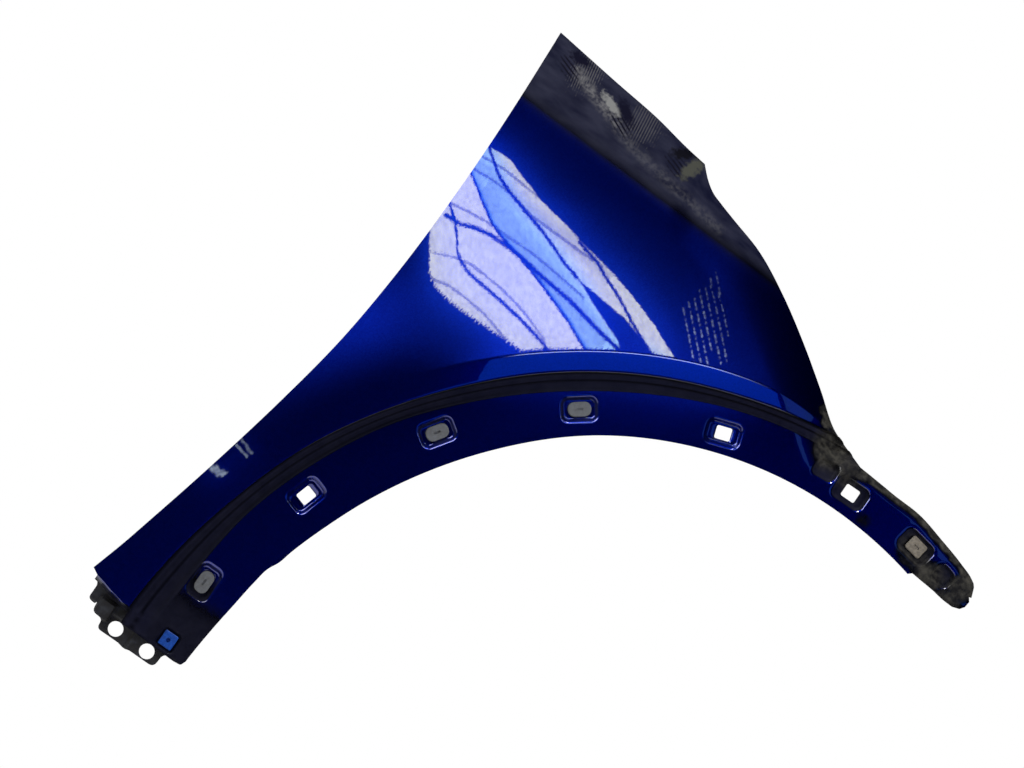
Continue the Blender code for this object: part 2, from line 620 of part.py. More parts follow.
def loft(sections):
    """Closed solid through outlines set one behind another, each with its depth inboard."""
    shape = bmesh.new()
    rings = [[shape.verts.new((along, depth, across)) for along, across in outline]
             for outline, depth in sections]
    for near, far in zip(rings, rings[1:]):
        for step in range(len(near)):
            ahead = (step + 1) % len(near)
            shape.faces.new((near[step], near[ahead], far[ahead], far[step]))
    shape.faces.new(rings[0])
    shape.faces.new(rings[-1])
    bmesh.ops.triangulate(shape, faces=[face for face in shape.faces if len(face.verts) > 4])
    bmesh.ops.recalc_face_normals(shape, faces=shape.faces[:])
    return shape


def build_panel(parent, finish, pockets):
    """The one-piece pressing with its turned edges, pockets, clip holes and hood tabs."""
    runs = edge_runs()
    outline = [place for run in runs.values() for place in run[1:]]
    lines = []
    for across, _ in GROOVE_SECTION_SHARES:
        table = [(angle, head + across * (float(curve_value(FLANGE_HEAD_SHARES, angle)) - head))
                 for angle, head in BROW_EDGE_SHARES]
        lines.append(wheel_line(table, BROW_EDGE_SHARES[0][0], GROOVE_END - GROOVE_FADE / 2.0))
    lines.append(wheel_line(CREASE_SHARES, CREASE_SHARES[0][0], CREASE_END + CREASE_FADE))
    lines.append(wheel_line(ARM_TOP_SHARES, ARM_TOP_SHARES[-1][0], ARM_TOP_SHARES[1][0], -FACET_WIDTH))
    loops = [loop for pocket in pockets.values() for loop in (pocket.rim(), pocket.floor())]
    holes = [pocket.hole_outline() for pocket in pockets.values() if pocket.hole]
    places, faces = flat_blank(outline, lines, loops + holes, holes)
    depths = press_depth(places)
    for pocket in pockets.values():
        down = pocket.floor_share(places)
        depths = depths + down * (pocket.floor_depth(places) - depths)
    sheet = sheet_mesh(places, faces, depths)
    for name, width in (("door", DOOR_RETURN), ("lamp", LAMP_RETURN), ("arm_top", ARM_RETURN),
                        ("arch", ARCH_RETURN)):
        fold(sheet, free_edges(sheet, runs[name], CORNER_RELIEF), lambda co, deep=width: (0.0, deep, 0.0))
    fold(sheet, free_edges(sheet, runs["sill"], CORNER_RELIEF / 2.0), lambda co: (0.0, SILL_RETURN, -SILL_LEAN))
    fold_hood_edge(sheet, runs["hood"])
    face_outboard(sheet)
    panel = add_object("fender_panel", sheet, parent, finish)
    thicken(panel, SHEET)
    for number, place in enumerate(TAB_PLACES):
        drill(panel, f"tab_drill_{number + 1}", tab_hole_place(place), TAB_BOLT_HOLE, parent)


def grommet_sections(head, slot, shank, hole):
    """Outlines of a push-in grommet, from the bottom of its driver slot to its tip."""
    length, height, corner = head
    face = -CLEARANCE - HEAD_THICKNESS
    behind = SHEET + CLEARANCE
    barb = (shank[0] + 2.0 * BARB, shank[1] + 2.0 * BARB, shank[2])
    tip = (shank[0] * SHANK_TIP_SHARE, shank[1] * SHANK_TIP_SHARE, shank[2] * SHANK_TIP_SHARE)
    edge = (length - 2.0 * HEAD_EDGE, height - 2.0 * HEAD_EDGE, corner - HEAD_EDGE)
    return [
        (rounded_rectangle(*slot), face + hole),
        (rounded_rectangle(*slot), face),
        (rounded_rectangle(*edge), face),
        (rounded_rectangle(*head), face + HEAD_EDGE),
        (rounded_rectangle(*head), -CLEARANCE),
        (rounded_rectangle(*shank), -CLEARANCE),
        (rounded_rectangle(*shank), behind),
        (rounded_rectangle(*barb), behind),
        (rounded_rectangle(*barb), behind + BARB_THICKNESS),
        (rounded_rectangle(*tip), SHANK_TIP),
    ]


def build_grommets(parent, pockets, oval_finish, square_finish):
    """Three oval grommets and a square one, each pressed into its pocket's hole."""
    shank = (CLIP_HOLE_LENGTH - 2.0 * CLEARANCE, CLIP_HOLE_HEIGHT - 2.0 * CLEARANCE, CLIP_HOLE_CORNER)
    slot = (SLOT_LENGTH, SLOT_HEIGHT, SLOT_HEIGHT / 2.2)
    oval = (HEAD_LENGTH, HEAD_HEIGHT, HEAD_HEIGHT / 2.2)
    square = (SQUARE_HEAD_LENGTH, SQUARE_HEAD_HEIGHT, SQUARE_HEAD_CORNER)
    for name, pocket in pockets.items():
        if not name.endswith(("_rear", "_middle", "_top")) and name != "square_grommet":
            continue
        head, finish = (square, square_finish) if name == "square_grommet" else (oval, oval_finish)
        made = add_object(name, loft(grommet_sections(head, slot, shank, SLOT_DEPTH)), parent, finish)
        made.matrix_local = pocket.frame()


def build_sill_clip(parent, pocket, finish):
    """Square clip whose shank passes through the panel and the bracket behind it."""
    shank = (CLIP_SEAT_HOLE - 2.0 * CLEARANCE, CLIP_SEAT_HOLE - 2.0 * CLEARANCE, CLIP_SEAT_HOLE / CORNER_STEPS)
    head = (CLIP_HEAD_LENGTH, CLIP_HEAD_HEIGHT, CLIP_HEAD_CORNER)
    bore = (CLIP_BORE, CLIP_BORE, CLIP_BORE / 2.2)
    sections = grommet_sections(head, bore, shank, CLIP_BORE_DEPTH)
    stack = BRACKET_SHEET + CLEARANCE
    sections = [(outline, depth + stack if depth > 0.0 else depth) for outline, depth in sections]
    made = add_object("sill_clip", loft(sections), parent, finish)
    made.matrix_local = pocket.frame()


def bracket_level(back, down):
    """Depth of the bracket at places back and down from the clip, over its lap behind the panel."""
    pad_front, pad_rear = (share * BRACKET_LENGTH for share in BRACKET_PAD_SHARES)
    pad_top, pad_foot = (share * BRACKET_DROP for share in BRACKET_PAD_DROP_SHARES)
    lug = np.clip((down - BRACKET_STEP_SHARE * BRACKET_DROP) / BRACKET_BEND, 0.0, 1.0)
    rear = np.clip((back - BRACKET_JOGGLE_SHARE * BRACKET_LENGTH) / BRACKET_BEND, 0.0, 1.0)
    pad = np.clip((back - pad_front) / BRACKET_BEND + 1.0, 0.0, 1.0)
    pad *= np.clip((pad_rear - back) / BRACKET_BEND + 1.0, 0.0, 1.0)
    pad *= np.clip((down - pad_top) / BRACKET_BEND, 0.0, 1.0)
    pad *= np.clip((pad_foot - down) / BRACKET_BEND + 1.0, 0.0, 1.0)
    plate = BRACKET_STEP * lug + BRACKET_JOGGLE * rear
    return plate + pad * (BRACKET_JOGGLE - BRACKET_PAD_RISE - plate)


def build_bracket(parent, pocket, finish):
    """Sill bracket: a stepped plate with two bolt lugs and a rear pad, lapped behind the foot of the panel."""
    clip, reach = pocket.place, np.array((-BRACKET_LENGTH, -BRACKET_DROP))

    def placed(shares):
        return [tuple(clip + reach * share) for share in shares]

    bend_back, bend_down = BRACKET_BEND / BRACKET_LENGTH, BRACKET_BEND / BRACKET_DROP
    pad_front, pad_rear = BRACKET_PAD_SHARES
    folds = []
    for back in (BRACKET_JOGGLE_SHARE, pad_front - bend_back, pad_rear):
        folds += [placed([(back + side, -1.0), (back + side, 2.0)]) for side in (0.0, bend_back)]
    for down in (BRACKET_STEP_SHARE,) + BRACKET_PAD_DROP_SHARES:
        folds += [placed([(-1.0, down + side), (2.0, down + side)]) for side in (0.0, bend_down)]
    holes = [pocket.outline(CLIP_SEAT_HOLE, CLIP_SEAT_HOLE, CLIP_SEAT_HOLE / CORNER_STEPS)]
    for lug in placed(BRACKET_LUG_SHARES):
        turns = [math.tau * step / ROUND_STEPS for step in range(ROUND_STEPS)]
        holes.append([(lug[0] + BRACKET_LUG_HOLE / 2.0 * math.cos(turn),
                       lug[1] + BRACKET_LUG_HOLE / 2.0 * math.sin(turn)) for turn in turns])
    outline = rounded_path(placed(BRACKET_OUTLINE_SHARES), BRACKET_CORNER, closed=True)
    places, faces = flat_blank(outline, folds, holes, holes)
    lap = pocket.depth + SHEET + CLEARANCE
    sheet = sheet_mesh(places, faces, lap + bracket_level(clip[0] - places[:, 0], clip[1] - places[:, 1]))
    bracket = add_object("sill_bracket", sheet, parent, finish)
    thicken(bracket, BRACKET_SHEET)


def main():
    """Builds the fender."""
    for old in list(bpy.data.objects):
        bpy.data.objects.remove(old, do_unlink=True)
    frame = bpy.data.objects.new("fender_frame", None)
    bpy.context.scene.collection.objects.link(frame)
    seat = tab_hole_place(TAB_PLACES[1]) + Vector((MOUNT_OFFSET, 0.0, -SHEET))
    frame.location = -seat
    pockets = clip_pockets()
    paint = material("blue_paint", PAINT_BLUE, 0.22, 0.6, 1.0)
    build_panel(frame, paint, pockets)
    oval_grey = material("grommet_grey", GROMMET_GREY, 0.50)
    square_grey = material("square_grommet_grey", SQUARE_GREY, 0.55)
    build_grommets(frame, pockets, oval_grey, square_grey)
    build_sill_clip(frame, pockets["sill_clip"], material("clip_blue", CLIP_BLUE, 0.40))
    build_bracket(frame, pockets["sill_clip"], material("bracket_grey", BRACKET_GREY, 0.60, 0.2))


main()
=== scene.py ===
"""The look of a right front fender: fine sheet metal, painted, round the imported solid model.

Everything is measured from the wheel centre, X forward, Y inboard and Z up. The finished pieces are moved so
that the middle hood tab's seat comes to the frame's origin, as in the solid model.
"""

import json
import math

import bmesh
import bpy
import numpy as np
from mathutils import Matrix, Vector
from mathutils.geometry import delaunay_2d_cdt

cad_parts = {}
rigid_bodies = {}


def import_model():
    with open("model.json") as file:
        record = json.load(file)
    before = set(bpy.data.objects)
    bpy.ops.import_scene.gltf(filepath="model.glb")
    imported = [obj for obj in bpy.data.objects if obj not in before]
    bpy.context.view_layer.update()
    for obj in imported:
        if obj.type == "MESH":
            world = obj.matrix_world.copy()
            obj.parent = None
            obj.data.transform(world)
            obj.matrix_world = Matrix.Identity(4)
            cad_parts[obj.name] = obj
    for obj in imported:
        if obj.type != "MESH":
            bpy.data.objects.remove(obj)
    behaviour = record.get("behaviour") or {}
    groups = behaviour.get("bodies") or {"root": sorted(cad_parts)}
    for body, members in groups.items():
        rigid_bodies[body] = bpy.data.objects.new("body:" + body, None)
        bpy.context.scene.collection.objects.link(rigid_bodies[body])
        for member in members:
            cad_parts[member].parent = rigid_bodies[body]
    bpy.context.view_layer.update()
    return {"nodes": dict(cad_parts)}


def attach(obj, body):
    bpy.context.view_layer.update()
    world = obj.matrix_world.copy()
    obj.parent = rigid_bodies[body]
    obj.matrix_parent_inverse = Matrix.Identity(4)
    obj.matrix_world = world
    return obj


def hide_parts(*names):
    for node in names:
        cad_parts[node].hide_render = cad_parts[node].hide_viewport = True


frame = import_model()

# Driving sizes of the panel, in metres, as the solid model has them
SHEET = 0.0008                 # steel thickness
ARCH_RADIUS = 0.395            # wheel centre to the arch edge at the top
REAR_WIDTH = 0.145             # arch radius back to the foot of the door edge
REAR_REACH = ARCH_RADIUS + REAR_WIDTH
CROWN_HEIGHT = 0.216           # arch radius up to the top rear corner
TOP_HEIGHT = ARCH_RADIUS + CROWN_HEIGHT
EYEBROW_RISE = 0.060           # arch edge up to the lower edge of the eyebrow
FACET_SPACING = 0.0045         # size of the triangles on the open skin
LINE_SPACING = 0.003           # step along edges and pressed lines
DOOR_SPACING = 0.0045          # step along the door edge
PROBE = 0.0003                 # small step, to measure a slope and to catch an edge's end
BLANK_WELD = SHEET / 1000.0    # points of the blank nearer than this become one

# Depths of the pressing, inboard from the outermost line
TUMBLEHOME = 0.060             # lean of the skin towards the car at the top
TURN_UNDER = 0.006             # lean of the skin towards the car at the sill
WIDEST_HEIGHT = 0.100          # height of the widest line above the wheel centre
NOSE_SWEEP = 0.045             # lean of the panel towards the car at the front tip
NOSE_START_SHARE = -0.760      # where that lean begins, as a share of the arch radius
NOSE_REACH_SHARE = 0.375       # wheel centre forward to the front tip, as the same
FLARE_FRONT = 0.027            # bulge of the eyebrow over the skin, at the front
FLARE_REAR = 0.012             # the same at the sill
FLARE_SPREAD = 0.130           # how far up the skin the bulge runs out
BROW_TUCK = 0.004              # how far the eyebrow turns in below its crease
SHOULDER_ROLL = 0.030          # extra roll of the skin at the hood line
SHOULDER_HEIGHT = 0.078        # height of that roll at the rear
SHOULDER_FALL_SHARE = 0.45     # how much lower it is towards the front
SHOULDER_SHARPNESS = 1.7       # power by which it sets in
FLANGE_DROP = 0.012            # eyebrow edge in to the clip flange
FACET_WIDTH = 0.008            # turned strip along the top of the front arm
FACET_DROP = 0.005             # how far it leans in

# Turned edges, the plain ones by their width
RETURNS = {"door": 0.013, "lamp": 0.010, "arm_top": 0.008, "arch": 0.012}
CORNER_RELIEF = 0.010          # bare edge left at each corner
HOOD_FOLD = 0.005              # top of the fold over the hood line
HOOD_WEB = 0.018               # wall that drops from the fold
HOOD_WEB_LEAN = 0.002
SILL_RETURN = 0.006            # turned-in lower edge of the skin
SILL_LEAN = 0.0045             # how far that edge still runs down
TAB_WIDTH = 0.028
TAB_LENGTH = 0.024
TAB_TIP_SHARE = 0.62           # width of the tab's tip
TAB_PLACE_SHARES = (-0.824, -0.704, -0.582)
TAB_PLACES = tuple(share * REAR_REACH for share in TAB_PLACE_SHARES)
MOUNT_OFFSET = 0.008           # from the bolt hole's centre to the measured spot beside it

# Clip pockets of the arch flange
POCKET_LENGTH = 0.037
POCKET_HEIGHT = 0.026
POCKET_CORNER = 0.0085
POCKET_WALL = 0.0048           # width of the sloping wall
POCKET_DEPTH = 0.0048
CLIP_HOLE_LENGTH = 0.0148
CLIP_HOLE_HEIGHT = 0.0125
CLIP_HOLE_CORNER = 0.0018
BLIND_LENGTH = 0.026
BLIND_HEIGHT = 0.021
BLIND_CORNER = 0.007
ARM_END_LENGTH = 0.024
ARM_END_HEIGHT = 0.022
CLIP_SEAT_LENGTH = 0.022       # square seat of the sill clip
CLIP_SEAT_WALL = 0.003
CLIP_SEAT_DEPTH = 0.003
CLIP_SEAT_CORNER = 0.005
CLIP_SEAT_HOLE = 0.0085

# Pockets, as angle round the wheel and height over the arch radius as a share of the eyebrow's
POCKET_SHARES = (
    (179.7, 0.885), (163.6, 0.655), (145.6, 0.500), (127.4, 0.410), (108.7, 0.310), (90.5, 0.315),
    (79.6, 0.325),
)
BLIND_SHARES = (94.8, 0.415)
ARM_END_SHARES = (74.5, 0.335)
CLIP_SEAT_SHARES = (187.8, 0.895)

# Edges of the blank, as shares of the sizes that they follow. The hood line and the lamp edge
# go from 0 at the arm's level to 1 at the top corner, and the foot goes from 0 at the arch edge's end
# to 1 at the door.
DOOR_EDGE_SHARES = (
    (-0.0736, 1.0000), (-0.0164, 0.9815), (0.0327, 0.9676), (0.1310, 0.9407), (0.1960, 0.9241),
    (0.2950, 0.9009), (0.4255, 0.8759), (0.5565, 0.8630), (0.7200, 0.8583),
    (0.8840, 0.8630), (1.0000, 0.8704),
)
HOOD_LINE_SHARES = (
    (-0.8704, 1.000), (-0.7407, 0.951), (-0.6481, 0.919), (-0.5741, 0.878), (-0.5370, 0.863),
)
LAMP_EDGE_SHARES = (
    (-0.5370, 0.863), (-0.5185, 0.808), (-0.5000, 0.767), (-0.4722, 0.735), (-0.4444, 0.709),
    (-0.3704, 0.640), (-0.2963, 0.523), (-0.2222, 0.378), (-0.1481, 0.215), (-0.0926, 0.087),
    (-0.0556, 0.041), (-0.0185, 0.000),
)
LAMP_RETURN_END_SHARE = -0.120 # the lamp edge is bare in front of this, across the groove's mouth
ARM_TOP_SHARES = (
    (70.5, 0.550), (71.0, 0.620), (72.0, 0.662), (74.0, 0.678), (78.0, 0.695), (82.0, 0.727),
    (86.0, 0.700), (88.0, 0.707), (91.3, 0.733),
)
ARM_END_EDGE_SHARES = (
    (70.10, 0.490), (70.35, 0.465), (69.80, 0.420), (69.60, 0.320), (69.80, 0.235),
)
ARM_FOOT_SHARES = ((70.6, 0.160), (72.0, 0.112), (74.0, 0.075), (76.0, 0.033), (77.4, 0.010))
ARCH_EDGE_SHARES = (
    (77.8, -0.053), (84.0, -0.043), (96.0, -0.022), (110.0, -0.010), (125.0, 0.000), (141.0, -0.020),
    (150.0, 0.000), (158.0, 0.042), (164.0, 0.085), (170.0, 0.155), (172.0, 0.178), (173.4, 0.235),
    (176.0, 0.265), (180.0, 0.308), (184.0, 0.383), (189.2, 0.505),
)
FOOT_EDGE_SHARES = ((0.018, 1.081), (0.085, 1.094), (0.443, 1.072), (0.584, 1.072), (0.584, 0.853))
SILL_EDGE_SHARES = ((0.700, 0.812), (0.792, 0.780), (0.870, 0.742), (0.942, 0.718))
FOOT_CORNER = 0.003

# Pressed lines round the wheel, as angle and share of the eyebrow's rise
BROW_EDGE_SHARES = (
    (90.0, 0.950), (97.0, 0.942), (108.0, 0.922), (120.0, 0.955), (130.0, 0.990), (140.0, 1.035),
    (150.0, 1.123), (160.0, 1.243), (170.0, 1.350), (180.0, 1.525), (190.0, 1.730),
)
FLANGE_HEAD_SHARES = (
    (90.0, 0.715), (100.0, 0.733), (128.0, 0.730), (140.0, 0.808), (150.0, 0.917), (160.0, 1.000),
    (170.0, 1.085), (180.0, 1.142), (190.0, 1.290),
)
CREASE_SHARES = (
    (94.0, 0.900), (97.0, 1.000), (100.0, 1.100), (105.0, 1.200), (110.0, 1.243), (120.0, 1.288),
    (130.0, 1.325), (140.0, 1.392), (150.0, 1.500), (170.0, 1.733), (190.0, 2.033),
)
CREASE_END = 134.0             # degrees; the crease is crisp in front of this line
CREASE_FADE = 14.0             # degrees over which it softens behind
GROOVE_END = 187.3             # degrees; the groove runs out here
GROOVE_FADE = 2.0

# Section of the groove: share of its width from the eyebrow down, and share of the drop to the flange
GROOVE_SECTION_SHARES = ((0.00, 0.00), (0.12, 0.60), (0.45, 0.68), (0.56, 1.04), (0.90, 1.10), (1.00, 1.00))
GROOVE_ROUNDING = 0.05         # reach over which its bends are rounded, as the same share

# Fineness of the sheet
CORNER_STEPS = 8               # points on each rounded corner
CORNER_ROOM_SHARE = 2.2        # a side is at least this many times as long as a corner's cut
GROOVE_ROWS = 20
GROOVE_ROWS_END = 1.18         # last row, as a share of the groove's width
SHARP_ANGLE = math.radians(50.0)
LINE_OFFSETS = (-0.0030, -0.0015, 0.0, 0.0015, 0.0030)
POCKET_ROWS = (-0.3, 0.0, 0.2, 0.4, 0.6, 0.8, 1.0, 1.25)  # shares of the wall's width

# Colours of the finishes, linear
PAINT_BLUE = (0.0010, 0.007, 0.210)
PAINT_FLAKE = (0.003, 0.024, 0.430)
PAINT_METALLIC = 1.0
PAINT_ROUGHNESS = 0.36
PAINT_SPECULAR = 0.3
COAT_ROUGHNESS = 0.02
COAT_IOR = 1.9
FLAKE_SIZE = 0.0012
FLAKE_SHARE = 0.35
PEEL_SIZE = 0.003
PEEL_HEIGHT = 0.000014
INNER_BLUE = (0.004, 0.015, 0.120)
INNER_DARK = (0.010, 0.014, 0.040)
DUST_DARK = (0.0036, 0.0040, 0.0120)
DUST_PALE = (0.0120, 0.0120, 0.0230)
DUST_ROUGHNESS = 0.70
DUST_SPECULAR = 0.08
GRIT_DARK = (0.012, 0.0115, 0.0110)
GRIT_PALE = (0.046, 0.043, 0.035)
GRIT_RANGE = (0.40, 0.68)
OVAL_GREY = (0.130, 0.136, 0.140)
OVAL_DARK = (0.100, 0.101, 0.098)
OVAL_ROUGHNESS = 0.45
SQUARE_PALE = (0.175, 0.152, 0.115)
SQUARE_DARK = (0.100, 0.087, 0.066)
SQUARE_ROUGHNESS = 0.5
CLIP_BLUE = (0.010, 0.065, 0.330)
CLIP_DARK = (0.005, 0.035, 0.200)
CLIP_ROUGHNESS = 0.4
BRACKET_GREY = (0.020, 0.019, 0.019)
BRACKET_RUBBED = (0.045, 0.047, 0.052)

# Grain of the finishes: sizes of their clouds, the range of values that matters, and size and height
# of their bumps
MIDDLE = (0.3, 0.7)            # where most of a noise's values lie
MOTTLE_SIZE = 0.004
MOTTLE_RANGE = (0.3, 0.6)
MOTTLE_SHARES = (0.85, 1.0)
GRIME_SIZE = 0.012
SPECK_SIZE = 0.006
CLOUD_SIZE = 0.014
CLOUD_RANGE = (0.35, 0.65)
CLOUD_STRETCH = (0.4, 1.0, 1.0)
LUMP_SIZE = 0.005
LUMP_RANGE = (0.38, 0.62)
LUMP_SHARES = (0.15, 1.0)
PATCH_RAGGED = 0.9
PATCH_SOFT = 0.35
PATCH_DEPTH = 100.0            # across the car, so deep that only the side view counts
STRIPE_BEND = 0.6
STRIPE_RANGE = (0.45, 0.75)
WAVE_TURN = 20.0               # radians a metre of the wave texture at a scale of 1
INNER_CLOUD = 0.06
INNER_MOTTLE = 0.02
INNER_GRAIN = (0.0015, 0.00003)
INNER_ROUGHNESS = (0.45, 0.65)
INNER_METALLIC = 0.3
PLASTIC_CLOUD = 0.003
PLASTIC_MOTTLE = 0.002
PLASTIC_GRAIN = (0.0006, 0.00002)
PLASTIC_RANGE = (0.35, 0.7)
PLASTIC_SPAN = 0.08            # of roughness, to either side
BRACKET_CLOUD = 0.008
BRACKET_GRAIN = (0.0012, 0.00004)
BRACKET_RANGE = (0.45, 0.7)
BRACKET_ROUGHNESS = (0.60, 0.42)
BRACKET_METALLIC = 0.2
FLOOR_CLOUD = 0.05
FLOOR_ROUGHNESS = (0.75, 0.9)

# Where dust lies, and where shade and highlights are painted
GROOVE_DUST_EDGE_SHARE = 0.10
GROOVE_DUST_SPILL = (0.08, 0.18)
# Painted shade along the groove's two hollow lines: where they lie across it, how wide they are, and their
# colour
GROOVE_SHADE_LINES = (0.02, 0.47)
GROOVE_SHADE_WIDTH = 0.11
GROOVE_SHADE_BLACK = (0.0006, 0.0006, 0.0022)
FOLD_DUST = 0.9
FOLD_DUST_FRONT = -0.110
# Dull dark layer on the shoulder: dust, and painted shade for the dark that the glossy shoulder mirrors
HAZE_AND_SHADE_SHARE = 0.97
HAZE_AND_SHADE_LINE = ((-0.500, 0.530), (-0.400, 0.527), (-0.310, 0.524), (-0.170, 0.520))
HAZE_AND_SHADE_FADE = 0.026
HAZE_TURN = 0.5
HAZE_AND_SHADE_DARK = (0.0030, 0.0038, 0.0150)
HAZE_AND_SHADE_PALE = (0.0160, 0.0172, 0.0330)
# Painted highlight on the shoulder: its colour, the line it follows, its reach and its fade
SHOULDER_HIGHLIGHT_GREY = (0.115, 0.113, 0.116)
SHOULDER_HIGHLIGHT_LINE = (
    (-0.440, 0.592), (-0.431, 0.587), (-0.395, 0.575), (-0.353, 0.560), (-0.300, 0.552), (-0.240, 0.543),
)
SHOULDER_HIGHLIGHT_REACH = (0.010, 0.007)         # above and below its line
SHOULDER_HIGHLIGHT_FADE = (-0.405, -0.345, 0.70)  # from, to and how much
# Marks painted on the shoulder: the pale and the striped ones are painted reflections, the dark plain ones
# painted shade. Place, size, turn, pitch and turn of stripes, and colour; no pitch is a plain mark
SHOULDER_LIGHT_AND_SHADE_MARKS = (
    ((-0.4290, 0.5965), (0.026, 0.036), 0.0, 0.0024, 102.0, (0.060, 0.059, 0.064)),
    ((-0.3580, 0.5850), (0.030, 0.034), 0.0, 0.0026, 98.0, (0.045, 0.044, 0.050)),
    ((-0.4451, 0.5886), (0.022, 0.016), -18.0, 0.0036, -18.0, (0.001, 0.001, 0.006)),
    ((-0.3761, 0.5745), (0.030, 0.016), -22.0, 0.0036, -25.0, (0.001, 0.001, 0.006)),
    ((-0.3094, 0.5700), (0.026, 0.014), -18.0, 0.0036, -18.0, (0.001, 0.001, 0.006)),
    ((-0.3930, 0.5830), (0.026, 0.008), -20.0, 0.0, 0.0, (0.160, 0.160, 0.155)),
    ((-0.2965, 0.5780), (0.013, 0.026), -20.0, 0.0, 0.0, (0.045, 0.046, 0.037)),
    ((-0.4400, 0.6010), (0.024, 0.010), -5.0, 0.0, 0.0, (0.0005, 0.0005, 0.008)),
    ((-0.3780, 0.5850), (0.024, 0.010), -32.0, 0.0, 0.0, (0.0005, 0.0005, 0.008)),
    ((-0.3121, 0.5835), (0.022, 0.011), 28.0, 0.0, 0.0, (0.0005, 0.0005, 0.003)),
)
SILL_DUST = 0.85
SILL_DUST_START = 0.5          # share across the groove
SILL_DUST_TOP = 0.010
SILL_DUST_FADE = 0.050
# Place, reach and amount of grit
DIRT_SPOTS = (
    ((0.075, 0.403), 0.021, 0.80), ((0.100, 0.392), 0.020, 1.00), ((0.128, 0.378), 0.022, 0.90),
    ((0.132, 0.400), 0.018, 0.95), ((-0.0585, 0.4565), 0.010, 1.00),
    ((-0.0663, 0.4645), 0.009, 1.00), ((-0.040, 0.438), 0.026, 1.00), ((-0.012, 0.430), 0.020, 0.85),
    ((0.020, 0.400), 0.010, 0.50),
)

# Camera, as the photograph has it
PHOTO_WIDTH = 1024             # pixels
PHOTO_HEIGHT = 768
SENSOR = 36.0                  # millimetres
CAMERA_ROLL = 35.0             # degrees
CAMERA_DISTANCE = 25.0
VIEW_DEPTH = -0.050            # of the upright plane that the view's width is measured on
VIEW_WIDTH = 0.9523
VIEW_CENTRE = (0.0526, 0.0, -0.2650)

# Studio
CARD_DISTANCE = 0.080          # off the skin
CARD_STEP = 0.0009
CARD_CREASE_GAP = 0.0004
ROOM_RADIUS = 12.0
ROOM_RINGS = 24
ROOM_SIDES = 48
ROOM_OPENING = 2.6             # radians from straight ahead
ROOM_GREY = (0.002, 0.002, 0.002)
FLOOR_RADIUS = 1.0
FLOOR_SIDES = 96
FLOOR_HEIGHT = -0.95
FLOOR_GREY = (0.70, 0.70, 0.70)
WORLD_LEVEL = 0.35
# Name, place, size, power, whether mirrors show it, and colour
LAMPS = (
    ("front_left_lamp", (-1.7, -1.3, 0.6), 1.4, 30.0, True, (1.0, 1.0, 1.0)),
    ("front_right_lamp", (2.0, -1.3, 0.4), 1.4, 60.0, False, (1.0, 1.0, 1.0)),
    ("top_lamp", (-0.68, -0.51, 1.745), 0.5, 32.0, True, (1.0, 1.0, 1.0)),
    ("brow_lamp", (0.738, -2.11, -0.400), 0.55, 1.3, True, (0.005, 0.09, 1.0)),
    ("brow_tip_lamp", (1.73, -1.29, 0.55), 1.6, 5.6, True, (0.07, 0.20, 0.72)),
)

# Window that the skin mirrors, drawn on the skin, in metres from the wheel centre
WINDOW_TINTS = ((0.0, (0.90, 0.91, 0.62)), (0.5, (0.50, 0.82, 0.90)), (1.0, (0.06, 0.28, 0.74)))
WINDOW_STRENGTH = 6.8
WINDOW_DEEP = 0.006             # above the middle bar, where the light is bluest
WINDOW_COOL = (0.024, 0.050)    # how far above it the light is sky blue, and where it is white again
RAGGED_HEIGHT = 0.0008
RAGGED_FOOT = 0.0022
RAGGED_PITCH = 0.00035
LIGHT_GRAIN = 0.004
LIGHT_GRAIN_LOW = 0.72
CREASE_LIGHT_REACH = (-0.338, -0.100)
CREASE_LIGHT_HEIGHTS = (0.004, 0.030)
CREASE_LIGHT_FADE = (0.012, 0.080)
CREASE_LIGHT_STEPS = 60
LIT_LIMIT = 0.01                # light below which a card has no faces
LINE_CORE_SHARE = 0.35
LINE_CORE_REACH = 0.005
WINDOW_EDGE = 0.0015
WINDOW_REACH = (-0.500, -0.205)
WINDOW_TOP = (
    (-0.500, 0.486), (-0.464, 0.486), (-0.450, 0.487), (-0.440, 0.487), (-0.420, 0.480), (-0.405, 0.476),
    (-0.398, 0.473), (-0.380, 0.470), (-0.360, 0.467), (-0.345, 0.463), (-0.320, 0.459), (-0.300, 0.455),
    (-0.280, 0.450), (-0.260, 0.444), (-0.240, 0.437), (-0.220, 0.428), (-0.205, 0.422),
)
WINDOW_FOOT = (
    (-0.500, 0.420), (-0.463, 0.388), (-0.458, 0.380), (-0.450, 0.369), (-0.442, 0.357), (-0.430, 0.349),
    (-0.410, 0.3455), (-0.380, 0.345), (-0.350, 0.346), (-0.330, 0.346), (-0.312, 0.361), (-0.300, 0.369),
    (-0.280, 0.383), (-0.250, 0.403), (-0.230, 0.414), (-0.205, 0.421),
)
STREAK_TINTS = ((0.0, (0.62, 0.75, 0.85)),)
# Bright scuffs by the door edge: two ends as pixels of the photograph, half the width, and brightness
DOOR_MARKS = (
    ((213.5, 468.0), (224.6, 474.6), 0.0030, 0.60),
    ((230.0, 474.2), (240.7, 468.8), 0.0008, 0.40),
    ((238.0, 445.6), (249.2, 458.6), 0.0010, 0.45),
    ((242.5, 439.8), (254.1, 455.9), 0.0013, 0.30),
    ((254.1, 456.8), (263.0, 452.8), 0.0008, 0.45),
    ((251.4, 470.2), (251.8, 470.6), 0.0019, 0.30),
    ((255.9, 474.2), (256.1, 474.4), 0.0014, 0.30),
)
DOOR_MARKS_BOX = (-0.512, 0.084, -0.460, 0.137)
